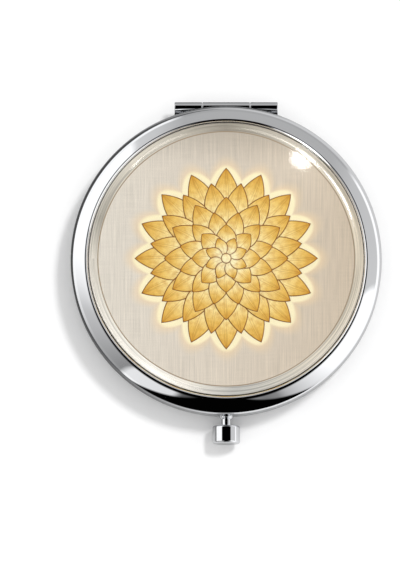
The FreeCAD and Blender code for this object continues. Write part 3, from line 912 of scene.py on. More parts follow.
@dataclass(frozen=True)
class HingePlace:
    """Where the hinge sits, and the room that the two halves leave for it."""

    reach: float = 35.1
    height: float = 5.23
    knuckle_radius: float = 1.18
    bore_radius: float = 0.68
    leaf_inner: float = 30.9
    room_half: float = 11.9
    room_front: float = 33.67
    room_bottom: float = 3.80
    room_top: float = 6.66

    def room(self, front: float, low: float, high: float) -> BMesh:
        """Return a cutter as wide as the hinge, from a front plane outwards."""
        return block((-self.room_half, front, low), (self.room_half, self.reach + CUT_BEYOND, high))


@dataclass(frozen=True)
class Bezel:
    """A pressed frame round a mirror: a flat ring with a flange at each edge."""

    face: float
    inside: float
    lip_end: float
    skirt_end: float
    inner: float = 29.2
    outer: float = 34.35
    sheet: float = 0.5
    edge: float = 0.2

    def solid(self) -> BMesh:
        """Turn the frame's section.

        Returns:
            The whole ring, before its notches.
        """
        lip_outside = self.inner + self.sheet
        skirt_inside = self.outer - self.sheet
        outline = Outline(UPRIGHT, (self.inner, self.lip_end))
        rounding = math.copysign(self.edge, self.face - self.inside)
        outline.round_end(self.inner, self.outer, self.face, rounding)
        outline.line((self.outer, self.skirt_end), (skirt_inside, self.skirt_end),
                     (skirt_inside, self.inside), (lip_outside, self.inside),
                     (lip_outside, self.lip_end))
        return outline.close().turned(UPRIGHT.up)

    def notched(self, hinge: HingePlace, half_width: float, inner: float) -> BMesh:
        """Cut the frame for the hinge at the back and for the hook in front.

        Args:
            hinge: The hinge's place.
            half_width: Half the width of the notch in front.
            inner: How far from the middle that notch starts.

        Returns:
            The frame.
        """
        low = min(self.face, self.skirt_end) - CUT_BEYOND
        high = max(self.face, self.skirt_end) + CUT_BEYOND
        knuckles = hinge.room(hinge.room_front, low, high)
        leaf_side = low if self.skirt_end < self.face else high
        leaf = hinge.room(hinge.leaf_inner, *sorted((self.inside, leaf_side)))
        hook = block((-half_width, -self.outer - CUT_BEYOND, low), (half_width, -inner, high))
        return cut_away(self.solid(), knuckles, leaf, hook)


@dataclass(frozen=True)
class BaseHalf:
    """The lower half: pan, magnifying mirror on its pad, and the mirror's frame."""

    hinge: HingePlace = HingePlace()
    bezel: Bezel = Bezel(face=5.05, inside=4.55, lip_end=4.2, skirt_end=3.6)
    radius: float = 35.0
    sheet: float = 0.6
    foot_radius: float = 30.9
    foot_rise: float = 3.1
    foot_arc: float = 4.261
    foot_steps: int = 24
    inner_foot_steps: int = 16
    rim: float = 5.18
    rim_round: float = 0.15
    bushing_hole: float = 1.53
    button_height: float = 3.4
    mirror_radius: float = 29.85
    mirror_back: float = 2.4
    mirror_front: float = 4.2
    mirror_dish: float = 0.8
    mirror_steps: int = 24
    hook_notch_half: float = 3.5
    hook_notch_inner: float = 32.6

    def build(self, finishes: Finishes) -> None:
        """Model and dress the base."""
        finish_piece(self.pan(), "base_pan", finishes.chrome, Body.BASE, "base_shell")
        ring = self.bezel.notched(self.hinge, self.hook_notch_half, self.hook_notch_inner)
        finish_piece(ring, "base_mirror_frame", finishes.frame, Body.BASE, "base_bezel")
        finish_piece(self.mirror(), "magnifying_mirror", finishes.mirror, Body.BASE,
                     "base_mirror")
        dress_node("base_mirror_pad", finishes.foam)

    def pan(self) -> BMesh:
        """Turn the pan, then cut the hinge's notch and the bushing's hole.

        Returns:
            The pan.
        """
        inside = self.radius - self.sheet
        foot_centre = (self.foot_radius, self.foot_arc)
        inner_foot = math.sqrt((self.foot_arc - self.sheet) ** 2 - (inside - self.foot_radius) ** 2)
        outline = Outline(UPRIGHT, (0.0, 0.0)).line((self.foot_radius, 0.0))
        outline.arc((self.radius, self.foot_rise), foot_centre, self.foot_steps)
        outline.round_end(self.radius, inside, self.rim, self.rim_round)
        outline.line((inside, self.foot_arc - inner_foot))
        outline.arc((self.foot_radius, self.sheet), foot_centre, self.inner_foot_steps)
        outline.line((0.0, self.sheet))
        pan = outline.turned(UPRIGHT.up)
        drill = bmesh.new()
        bmesh.ops.create_cone(drill, cap_ends=True, segments=DRILL_SIDES, radius1=self.bushing_hole,
                              radius2=self.bushing_hole, depth=2.0 * CUT_BEYOND,
                              matrix=Matrix.Translation((0.0, -self.radius, self.button_height))
                              @ Matrix.Rotation(math.pi / 2.0, 4, "X"))
        notch = self.hinge.room(self.hinge.leaf_inner, self.hinge.room_bottom, self.rim + CUT_BEYOND)
        return cut_away(pan, notch, drill)

    def mirror(self) -> BMesh:
        """Turn the hollow glass of the magnifying mirror.

        Returns:
            The mirror.
        """
        bottom = self.mirror_front - self.mirror_dish
        curve = (self.mirror_radius ** 2 + self.mirror_dish ** 2) / (2.0 * self.mirror_dish)
        outline = Outline(UPRIGHT, (0.0, self.mirror_back))
        outline.line((self.mirror_radius, self.mirror_back), (self.mirror_radius, self.mirror_front))
        outline.arc((0.0, bottom), (0.0, bottom + curve), self.mirror_steps)
        return outline.turned(UPRIGHT.up)


@dataclass(frozen=True)
class LidRim:
    """Polished rim of the lid: a gently crowned band between a rounded shoulder and a narrow crest."""

    radius: float = 35.0
    crest_height: float = 10.26
    band_width: float = 3.4
    band_rise: float = 2.3
    band_arc: float = 7.0
    band_steps: int = 28
    inner_band_steps: int = 12
    edge_round: float = 1.2
    shoulder_steps: int = 12
    crest_round: float = 0.3
    lip_width: float = 0.5
    lip_drop: float = 0.3

    @property
    def crest(self) -> Vector:
        """Return the sharp corner that the crest's rounding replaces."""
        return Vector((self.radius - self.band_width, self.crest_height))

    @property
    def band_centre(self) -> Vector:
        """Return the centre of the band's arc."""
        edge = Vector((self.radius, self.crest_height - self.band_rise))
        along = self.crest - edge
        outwards = Vector((along.y, -along.x)).normalized()
        depth = math.sqrt(self.band_arc ** 2 - along.length_squared / 4.0)
        return (self.crest + edge) / 2.0 - outwards * depth

    @property
    def shoulder_centre(self) -> Vector:
        """Return the centre of the rounding between band and wall."""
        aside = self.radius - self.edge_round - self.band_centre.x
        above = math.sqrt((self.band_arc - self.edge_round) ** 2 - aside ** 2)
        return Vector((self.radius - self.edge_round, self.band_centre.y + above))

    @property
    def crest_centre(self) -> Vector:
        """Return the centre of the rounding between band and lip."""
        along = Vector((-self.lip_width, -self.lip_drop)).normalized()
        inwards = Vector((-along.y, along.x))
        start = self.crest + inwards * self.crest_round - self.band_centre
        reach = start.dot(along)
        excess = start.length_squared - (self.band_arc - self.crest_round) ** 2
        return start + self.band_centre + along * (-reach - math.sqrt(reach ** 2 - excess))

    def on_band(self, centre: Vector, arc: float) -> Point:
        """Return where an arc about the band's centre meets the line through a rounding's centre."""
        return tuple(self.band_centre + (centre - self.band_centre).normalized() * arc)

    @property
    def lip_end(self) -> Point:
        """Return where the lip passes into the rounding of the crest."""
        along = Vector((-self.lip_width, -self.lip_drop)).normalized()
        return tuple(self.crest_centre + Vector((along.y, -along.x)) * self.crest_round)


@dataclass(frozen=True)
class LidHalf:
    """The upper half: cover with its polished rim, mirror and frame, and the insert under its dome."""

    hinge: HingePlace = HingePlace()
    bezel: Bezel = Bezel(face=5.41, inside=5.91, lip_end=6.26, skirt_end=6.86)
    radius: float = 35.0
    sheet: float = 0.6
    rim: float = 5.28
    rim_round: float = 0.15
    ceiling: float = 8.56
    lid_rim: LidRim = LidRim()
    recess_floor: float = 9.16
    recess_radius: float = 31.1
    channel: float = 0.25
    prong_notch_half: float = 3.5
    prong_notch_inner: float = 33.1
    insert_radius: float = 30.7
    insert_bottom: float = 9.31
    insert_top: float = 9.71
    insert_round: float = 0.08
    insert_round_steps: int = 4
    dome_hollow: float = 30.75
    dome_shoulder: float = 28.6
    dome_shoulder_top: float = 11.01
    dome_shoulder_steps: int = 20
    dome_top: float = 11.26
    dome_top_steps: int = 16
    resin_bond: float = 0.02

    def build(self, finishes: Finishes) -> None:
        """Model and dress the lid."""
        finish_piece(self.cover(), "lid_cover", finishes.chrome, Body.LID, "lid_shell")
        ring = self.bezel.notched(self.hinge, self.prong_notch_half, self.prong_notch_inner)
        finish_piece(ring, "lid_mirror_frame", finishes.frame, Body.LID, "lid_bezel")
        finish_piece(self.dome(), "clear_dome", finishes.resin, Body.LID, "dome")
        dress_node("lid_mirror", finishes.mirror)
        dress_node("lid_mirror_pad", finishes.foam)
        dress_node("insert_adhesive", finishes.glue)
        finish_piece(self.insert(), "insert_plate", finishes.foil, Body.LID, "insert_disc")

    def cover(self) -> BMesh:
        """Turn the cover and cut the hinge's notch.

        Returns:
            The cover.
        """
        edge = self.lid_rim
        inside = self.radius - self.sheet
        shoulder = tuple(edge.shoulder_centre)
        outline = Outline(UPRIGHT, (0.0, self.recess_floor))
        outline.line((self.recess_radius, self.recess_floor),
                     (self.recess_radius, edge.crest_height - edge.lip_drop), edge.lip_end)
        outline.arc(edge.on_band(edge.crest_centre, edge.band_arc), tuple(edge.crest_centre))
        outline.arc(edge.on_band(edge.shoulder_centre, edge.band_arc), tuple(edge.band_centre),
                    edge.band_steps)
        outline.arc((self.radius, shoulder[1]), shoulder, edge.shoulder_steps)
        outline.round_end(self.radius, inside, self.rim, -self.rim_round)
        outline.line((inside, shoulder[1]))
        outline.arc(edge.on_band(edge.shoulder_centre, edge.band_arc - self.sheet), shoulder)
        channel_wall = self.recess_radius + self.sheet
        channel_width = channel_wall + self.channel - edge.band_centre.x
        channel_rise = math.sqrt((edge.band_arc - self.sheet) ** 2 - channel_width ** 2)
        channel_top = edge.band_centre.y + channel_rise
        outline.arc((channel_wall + self.channel, channel_top), tuple(edge.band_centre),
                    edge.inner_band_steps)
        outline.line((channel_wall, channel_top - self.channel), (channel_wall, self.ceiling),
                     (0.0, self.ceiling))
        notch = self.hinge.room(self.hinge.leaf_inner, self.rim - CUT_BEYOND, self.hinge.room_top)
        return cut_away(outline.turned(UPRIGHT.up), notch)

    def insert(self) -> BMesh:
        """Turn the insert's plate, whose cut edge is slightly rounded on top.

        Returns:
            The plate.
        """
        flat = self.insert_radius - self.insert_round
        shoulder = self.insert_top - self.insert_round
        outline = Outline(UPRIGHT, (0.0, self.insert_bottom))
        outline.line((self.insert_radius, self.insert_bottom), (self.insert_radius, shoulder))
        outline.arc((flat, self.insert_top), (flat, shoulder), self.insert_round_steps)
        outline.line((0.0, self.insert_top))
        return outline.turned(UPRIGHT.up)

    def dome(self) -> BMesh:
        """Turn the clear dome, bonded without air to the insert and the recess.

        Returns:
            The dome.
        """
        bottom = self.insert_top - self.resin_bond
        foot = self.recess_floor - self.resin_bond
        outside = self.recess_radius + self.resin_bond
        lip_foot = self.lid_rim.crest_height - self.lid_rim.lip_drop - self.resin_bond
        edge = tuple((Vector((outside, lip_foot)) + Vector(self.lid_rim.lip_end)) / 2.0)
        width = edge[0] - self.dome_shoulder
        rise = self.dome_shoulder_top - edge[1]
        shoulder_arc = (width ** 2 + rise ** 2) / (2.0 * rise)
        crown = self.dome_top - self.dome_shoulder_top
        crown_arc = (self.dome_shoulder ** 2 + crown ** 2) / (2.0 * crown)
        outline = Outline(UPRIGHT, (0.0, bottom))
        outline.line((self.dome_hollow, bottom), (self.dome_hollow, foot), (outside, foot),
                     (outside, lip_foot), edge)
        outline.arc((self.dome_shoulder, self.dome_shoulder_top),
                    (self.dome_shoulder, self.dome_shoulder_top - shoulder_arc),
                    self.dome_shoulder_steps)
        outline.arc((0.0, self.dome_top), (0.0, self.dome_top - crown_arc), self.dome_top_steps)
        return outline.turned(UPRIGHT.up)


@dataclass(frozen=True)
class PetalTier:
    """One ring of equal petals."""

    count: int
    root: float
    tip: float
    half_width: float
    half_step: bool
    lift: float


@dataclass(frozen=True)
class Rosette:
    """Round ornament of pointed petals, printed in thick gold ink in the middle of the insert."""

    ground: float = 9.71
    tiers: tuple[PetalTier, ...] = (
        PetalTier(16, 7.0, 20.6, 3.05, False, 0.04),
        PetalTier(16, 5.5, 17.4, 2.75, True, 0.095),
        PetalTier(12, 4.0, 14.0, 2.95, False, 0.15),
        PetalTier(12, 3.0, 10.8, 2.25, True, 0.205),
        PetalTier(8, 1.6, 7.8, 2.35, False, 0.26),
        PetalTier(8, 0.8, 5.0, 1.45, True, 0.315),
    )
    crown: float = 0.02
    overlap: float = 0.025
    widest: float = 0.46
    point: float = 1.75
    rows: int = 18
    columns: int = 8
    ink: float = 0.015
    boss_radius: float = 1.2
    boss_rise: float = 0.25
    boss_sides: int = 32
    boss_rows: int = 12

    def build(self, finishes: Finishes) -> None:
        """Model and dress the rosette."""
        mesh = bmesh.new()
        mesh.loops.layers.uv.verify()
        mesh.verts.layers.float.new(EDGE_DISTANCE)
        for tier in self.tiers:
            self.add_tier(mesh, tier)
        self.add_boss(mesh)
        rosette = finish_piece(mesh, "rosette", finishes.gold, Body.LID)
        thick = rosette.modifiers.new("ink", "SOLIDIFY")
        thick.thickness = self.ink * MM
        thick.offset = -1.0

    def add_boss(self, mesh: BMesh) -> None:
        """Cover the petals' roots with a low round boss."""
        top = self.ground + self.tiers[-1].lift
        shape = Matrix.Translation((0.0, 0.0, top)) @ Matrix.Diagonal((1.0, 1.0, self.boss_rise, 1.0))
        made = bmesh.ops.create_uvsphere(mesh, u_segments=self.boss_sides, v_segments=self.boss_rows,
                                         radius=self.boss_radius, matrix=shape)
        edge = mesh.verts.layers.float[EDGE_DISTANCE]
        for vertex in made["verts"]:
            vertex[edge] = self.boss_radius - vertex.co.xy.length
        under = [vertex for vertex in made["verts"] if vertex.co.z < top - SAME_PLACE]
        bmesh.ops.delete(mesh, geom=under, context="VERTS")

    def add_tier(self, mesh: BMesh, tier: PetalTier) -> None:
        """Shape one petal from a grid and repeat it round the centre.

        Args:
            mesh: The rosette.
            tier: The ring of petals.
        """
        made = bmesh.ops.create_grid(mesh, x_segments=self.columns, y_segments=self.rows, size=1.0,
                                     calc_uvs=True)
        petal = made["verts"]
        edge = mesh.verts.layers.float[EDGE_DISTANCE]
        for vertex in petal:
            aside = vertex.co.x
            along = (vertex.co.y + 1.0) / 2.0
            half = tier.half_width * self.spread(along)
            vertex[edge] = half * (1.0 - abs(aside))
            vertex.co = Vector((half * aside, tier.root + (tier.tip - tier.root) * along,
                                self.ground + tier.lift + self.height(aside, along)))
        bmesh.ops.remove_doubles(mesh, verts=petal, dist=SAME_PLACE)
        petal = [vertex for vertex in petal if vertex.is_valid]
        step = FULL_TURN / tier.count
        if tier.half_step:
            bmesh.ops.rotate(mesh, verts=petal, cent=ORIGIN, matrix=Matrix.Rotation(step / 2.0, 3, "Z"))
        faces = {face for vertex in petal for face in vertex.link_faces}
        edges = {edge for face in faces for edge in face.edges}
        bmesh.ops.spin(mesh, geom=[*petal, *edges, *faces], cent=ORIGIN, axis=ALONG_Z,
                       angle=FULL_TURN - step, steps=tier.count - 1, use_duplicate=True)

    def spread(self, along: float) -> float:
        """Return a petal's width, as a share of its widest, from 0 at the root to 1 at the tip."""
        before = (along / self.widest) ** self.widest
        after = ((1.0 - along) / (1.0 - self.widest)) ** (1.0 - self.widest)
        return (before * after) ** self.point

    def height(self, aside: float, along: float) -> float:
        """Return how far a petal stands up, crowned in the middle and tilted over its neighbour."""
        return self.spread(along) * (self.crown * (1.0 - aside ** 2) + self.overlap * aside)


@dataclass(frozen=True)
class Hinge:
    """Two leaves curled round one pin: the base's has the outer knuckles and the lid's the middle one."""

    place: HingePlace = HingePlace()
    length: float = 23.3
    middle: float = 10.7
    gap: float = 0.1
    curl_degrees: float = 280.0
    curl_steps: int = 56
    knuckle_round: float = 0.16
    pin_radius: float = 0.65
    pin_round: float = 0.2

    def build(self, finishes: Finishes) -> None:
        """Model and dress the hinge."""
        finish_piece(self.base_leaf(), "hinge_outer_knuckles", finishes.chrome, Body.BASE,
                     "hinge_leaf_base")
        finish_piece(self.lid_leaf(), "hinge_middle_knuckle", finishes.chrome, Body.LID,
                     "hinge_leaf_lid")
        finish_piece(self.pin(), "hinge_pin_turned", finishes.steel, Body.BASE, "hinge_pin")

    def leaf(self, side: float, width: float) -> BMesh:
        """Pull a leaf's section: a plate whose end curls round the pin, with an open seam.

        Args:
            side: 1 for a plate below the pin, -1 for one above it.
            width: The leaf's width.

        Returns:
            The leaf.
        """
        axis = (self.place.reach, self.place.height)
        outside = self.place.height - side * self.place.knuckle_radius
        inside = self.place.height - side * self.place.bore_radius
        outline = Outline(SIDE_VIEW, (self.place.leaf_inner, outside)).line((self.place.reach, outside))
        outline.curl(axis, side * self.curl_degrees, self.curl_steps)
        end = math.radians(side * (self.curl_degrees - 90.0))
        outline.line((axis[0] + self.place.bore_radius * math.cos(end),
                      axis[1] + self.place.bore_radius * math.sin(end)))
        outline.curl(axis, -side * self.curl_degrees, self.curl_steps)
        outline.line((self.place.leaf_inner, inside))
        return outline.close().pulled(width)

    def rounded(self, leaf: BMesh) -> BMesh:
        """Round the outer edges of the knuckles' ends."""
        return round_edges(leaf, self.knuckle_round, self.is_knuckle_end)

    def is_knuckle_end(self, edge: BMEdge) -> bool:
        """Tell whether an edge runs round the outside of a knuckle's end."""
        ends = [vertex.co for vertex in edge.verts]
        along = abs(ends[0].x - ends[1].x)
        axis = Vector((0.0, self.place.reach, self.place.height))
        away = [(Vector((0.0, end.y, end.z)) - axis).length for end in ends]
        on_outside = all(abs(distance - self.place.knuckle_radius) < ON_SURFACE for distance in away)
        return along < SAME_PLACE and on_outside and is_corner(edge)

    def base_leaf(self) -> BMesh:
        """Cut the window for the middle knuckle out of the base's leaf.

        Returns:
            The leaf.
        """
        half = self.middle / 2.0 + self.gap
        reach = self.place.reach + CUT_BEYOND
        window = block((-half, self.place.room_front, self.place.room_bottom - CUT_BEYOND),
                       (half, reach, self.place.room_top + CUT_BEYOND))
        leaf = cut_away(self.leaf(1.0, self.length), window)
        # The rounding ends where the plate starts, so the end faces are divided there.
        bmesh.ops.bisect_plane(leaf, geom=leaf.verts[:] + leaf.edges[:] + leaf.faces[:], dist=SAME_PLACE,
                               plane_co=ALONG_Y * self.place.reach, plane_no=ALONG_Y)
        return self.rounded(leaf)

    def lid_leaf(self) -> BMesh:
        """Make the lid's leaf."""
        return self.rounded(self.leaf(-1.0, self.middle))

    def pin(self) -> BMesh:
        """Turn the pin with rounded ends.

        Returns:
            The pin.
        """
        plane = Plane(Vector((0.0, self.place.reach, self.place.height)), ALONG_X, ALONG_Z)
        half = self.length / 2.0
        shaft = half - self.pin_round
        core = self.pin_radius - self.pin_round
        outline = Outline(plane, (-half, 0.0)).line((-half, core))
        outline.arc((-shaft, self.pin_radius), (-shaft, core)).line((shaft, self.pin_radius))
        outline.arc((half, core), (shaft, core)).line((half, 0.0))
        return outline.turned(plane.across, SMALL_TURNING_STEPS)


@dataclass(frozen=True)
class Latch:
    """Push knob in its bushing, the catch that it carries, its spring, and the forked hook of the lid."""

    height: float = 3.4
    knob_front: float = -41.1
    knob_back: float = -37.1
    knob_radius: float = 3.1
    knob_round: float = 0.45
    stem_radius: float = 1.1
    stem_end: float = -32.8
    tail_radius: float = 0.65
    tail_end: float = -31.7
    collar_round: float = 0.25
    bushing_bore: float = 1.13
    bushing_radius: float = 1.48
    bushing_nose: float = -35.6
    nose_radius: float = 1.28
    wall: float = -35.0
    flare_radius: float = 1.68
    bushing_end: float = -32.85
    hook_half: float = 3.2
    fork_half: float = 1.78
    hook_bottom: float = 3.15
    hook_nose_top: float = 3.75
    hook_front: float = -34.0
    hook_back: float = -33.4
    hook_tip: float = -32.9
    flange_end: float = -31.2
    flange_bottom: float = 5.91
    hook_sheet: float = 0.6
    hook_round: float = 0.07
    hook_round_steps: int = 2
    spring_front: float = -32.19
    spring_back: float = -30.45
    spring_radius: float = 0.9
    spring_turns: int = 3
    wire_radius: float = 0.1
    stroke: float = 0.8

    @property
    def plane(self) -> Plane:
        """Return the plane of the turned pieces: along the stem, and out from its axis."""
        return Plane(ALONG_Z * self.height, ALONG_Y, ALONG_Z)

    def build(self, finishes: Finishes) -> None:
        """Model and dress the latch."""
        finish_piece(self.knob(), "push_knob_turned", finishes.chrome, Body.BUTTON,
                     "push_knob")
        finish_piece(self.bushing(), "knob_bushing", finishes.chrome, Body.BASE,
                     "button_bushing")
        finish_piece(self.hook(), "lid_hook", finishes.chrome, Body.LID, "latch_hook")
        spring = finish_piece(self.spring(), "latch_coil", finishes.steel, Body.BASE,
                              "latch_spring")
        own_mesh(spring)
        for node in ("latch_catch", "spring_bracket"):
            dress_node(node, finishes.steel)

    def knob(self) -> BMesh:
        """Turn the knob with its neck, stem and tail.

        Returns:
            The knob.
        """
        edge = self.knob_round
        body = self.knob_radius - edge
        front = self.knob_front + edge
        back = self.knob_back - edge
        root = self.stem_radius + self.collar_round
        outline = Outline(self.plane, (self.knob_front, 0.0)).line((self.knob_front, body))
        outline.arc((front, self.knob_radius), (front, body)).line((back, self.knob_radius))
        outline.arc((self.knob_back, body), (back, body)).line((self.knob_back, root))
        outline.arc((self.knob_back + self.collar_round, self.stem_radius),
                    (self.knob_back + self.collar_round, root))
        outline.line((self.stem_end, self.stem_radius), (self.stem_end, self.tail_radius),
                     (self.tail_end, self.tail_radius), (self.tail_end, 0.0))
        return outline.turned(self.plane.across, SMALL_TURNING_STEPS)

    def bushing(self) -> BMesh:
        """Turn the bushing with its cone outside the wall.

        Returns:
            The bushing.
        """
        outline = Outline(self.plane, (self.bushing_nose, self.bushing_bore))
        outline.line((self.bushing_nose, self.nose_radius), (self.wall, self.flare_radius),
                     (self.wall, self.bushing_radius), (self.bushing_end, self.bushing_radius),
                     (self.bushing_end, self.bushing_bore))
        return outline.close().turned(self.plane.across, SMALL_TURNING_STEPS)

    def hook(self) -> BMesh:
        """Pull the hook's bent sheet, cut its fork and break its edges.

        Returns:
            The hook.
        """
        top = self.flange_bottom + self.hook_sheet
        slope = (self.hook_bottom + self.hook_nose_top) / 2.0
        outline = Outline(SIDE_VIEW, (self.hook_front, self.hook_bottom))
        outline.line((self.hook_back, self.hook_bottom), (self.hook_tip, slope),
                     (self.hook_tip, self.hook_nose_top), (self.hook_back, self.hook_nose_top),
                     (self.hook_back, self.flange_bottom), (self.flange_end, self.flange_bottom),
                     (self.flange_end, top), (self.hook_back, top))
        outline.arc((self.hook_front, self.flange_bottom), (self.hook_back, self.flange_bottom))
        fork = block((-self.fork_half, self.hook_front - CUT_BEYOND, self.hook_bottom - CUT_BEYOND),
                     (self.fork_half, self.flange_end + CUT_BEYOND, self.flange_bottom))
        hook = cut_away(outline.close().pulled(2.0 * self.hook_half), fork)
        return round_edges(hook, self.hook_round, is_corner, self.hook_round_steps)

    def spring(self) -> BMesh:
        """Wind the coil spring between catch and bracket.

        Returns:
            The spring.
        """
        coil = bmesh.new()
        start = self.spring_front + self.wire_radius
        climb = self.spring_back - self.wire_radius - start
        steps = self.spring_turns * WINDING_STEPS
        bmesh.ops.create_circle(coil, radius=self.wire_radius, segments=WIRE_SIDES,
                                matrix=Matrix.Translation((self.spring_radius, start, self.height)))
        bmesh.ops.spin(coil, geom=coil.verts[:] + coil.edges[:], cent=(0.0, start, self.height),
                       axis=(0.0, -1.0, 0.0), dvec=(0.0, climb / steps, 0.0),
                       angle=FULL_TURN * self.spring_turns, steps=steps)
        bmesh.ops.holes_fill(coil, edges=[edge for edge in coil.edges if edge.is_boundary])
        bmesh.ops.recalc_face_normals(coil, faces=coil.faces[:])
        return coil


# The photograph's studio

def direction(azimuth: float, height: float) -> Vector:
    """Return a direction given in degrees round from +X and up from the floor."""
    level = math.cos(math.radians(height))
    return Vector((level * math.cos(math.radians(azimuth)), level * math.sin(math.radians(azimuth)),
                   math.sin(math.radians(height))))


def light_only(lamp: Object, pieces: tuple[str, ...]) -> None:
    """Let a lamp, which the camera doesn't see, light some pieces alone.

    Args:
        lamp: The lamp.
        pieces: Names of modelled pieces or of the frame's nodes.
    """
    lit = bpy.data.collections.new(lamp.name)
    for piece in pieces:
        lit.objects.link(frame["nodes"].get(piece) or bpy.data.objects[piece])
    lamp.light_linking.receiver_collection = lit
    lamp.visible_camera = False


@dataclass(frozen=True)
class Glint:
    """A small bright lamp with a narrow beam, which one glossy piece shows as a short glint."""

    spot_mm: Point
    azimuth: float
    height: float
    half_mm: Span
    brightness: float
    piece: str = "clear_dome"
    distance_mm: float = 50.0
    beam: float = 24.0

    def hang(self) -> None:
        """Hang the lamp so that it faces its spot on the dome's level."""
        lamp = bpy.data.lights.new("glint", "AREA")
        lamp.shape = "ELLIPSE"
        lamp.size, lamp.size_y = [2.0 * half * MM for half in self.half_mm]
        lamp.spread = math.radians(self.beam)
        half_beam = lamp.spread / 2.0
        # A narrow beam packs the lamp's power into fewer directions, so the power goes down by as much.
        packing = math.tan(half_beam) / (math.tan(half_beam) - half_beam)
        area = math.pi * lamp.size * lamp.size_y / 4.0
        lamp.energy = self.brightness * math.pi * area / packing
        holder = add_object("glint", lamp)
        towards = direction(self.azimuth, self.height)
        spot = Vector((self.spot_mm[0] * MM, self.spot_mm[1] * MM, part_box("dome")[1][2]))
        holder.location = spot + towards * self.distance_mm * MM
        holder.rotation_euler = towards.to_track_quat("Z", "Y").to_euler()
        light_only(holder, (self.piece,))


@dataclass(frozen=True)
class Softbox:
    """A wide lamp overhead that the open mirrors and their frames show, brighter towards one corner."""

    pieces: tuple[str, ...] = ("magnifying_mirror", "base_mirror_frame", "lid_mirror", "lid_mirror_frame",
                               "lid_hook")
    place_m: Place = (0.0, 0.1, 0.6)
    size_m: float = 1.0
    tones: Stops = ((0.4, "#9C9C9C"), (0.56, "#FFFFFF"))

    def hang(self) -> None:
        """Hang the lamp, facing down."""
        lamp = bpy.data.lights.new("softbox", "AREA")
        lamp.size = self.size_m
        lamp.energy = math.pi * self.size_m ** 2
        lamp.use_nodes = True
        tree = lamp.node_tree
        spot = add_node(tree, "NewGeometry")
        axes = add_node(tree, "SeparateXYZ", None, {0: spot.outputs["Parametric"]})
        corner = add_node(tree, "Math", {"operation": "ADD"},
                          {0: axes.outputs["X"], 1: axes.outputs["Y"]})
        share = add_node(tree, "MapRange", {"ranges": ((0.0, 2.0), (0.0, 1.0))}, {"Value": corner})
        tone = add_node(tree, "ValToRGB", {"stops": self.tones}, {0: share})
        tree.links.new(tone.outputs[0], tree.nodes["Emission"].inputs["Color"])
        holder = add_object("softbox", lamp)
        holder.location = self.place_m
        light_only(holder, self.pieces)


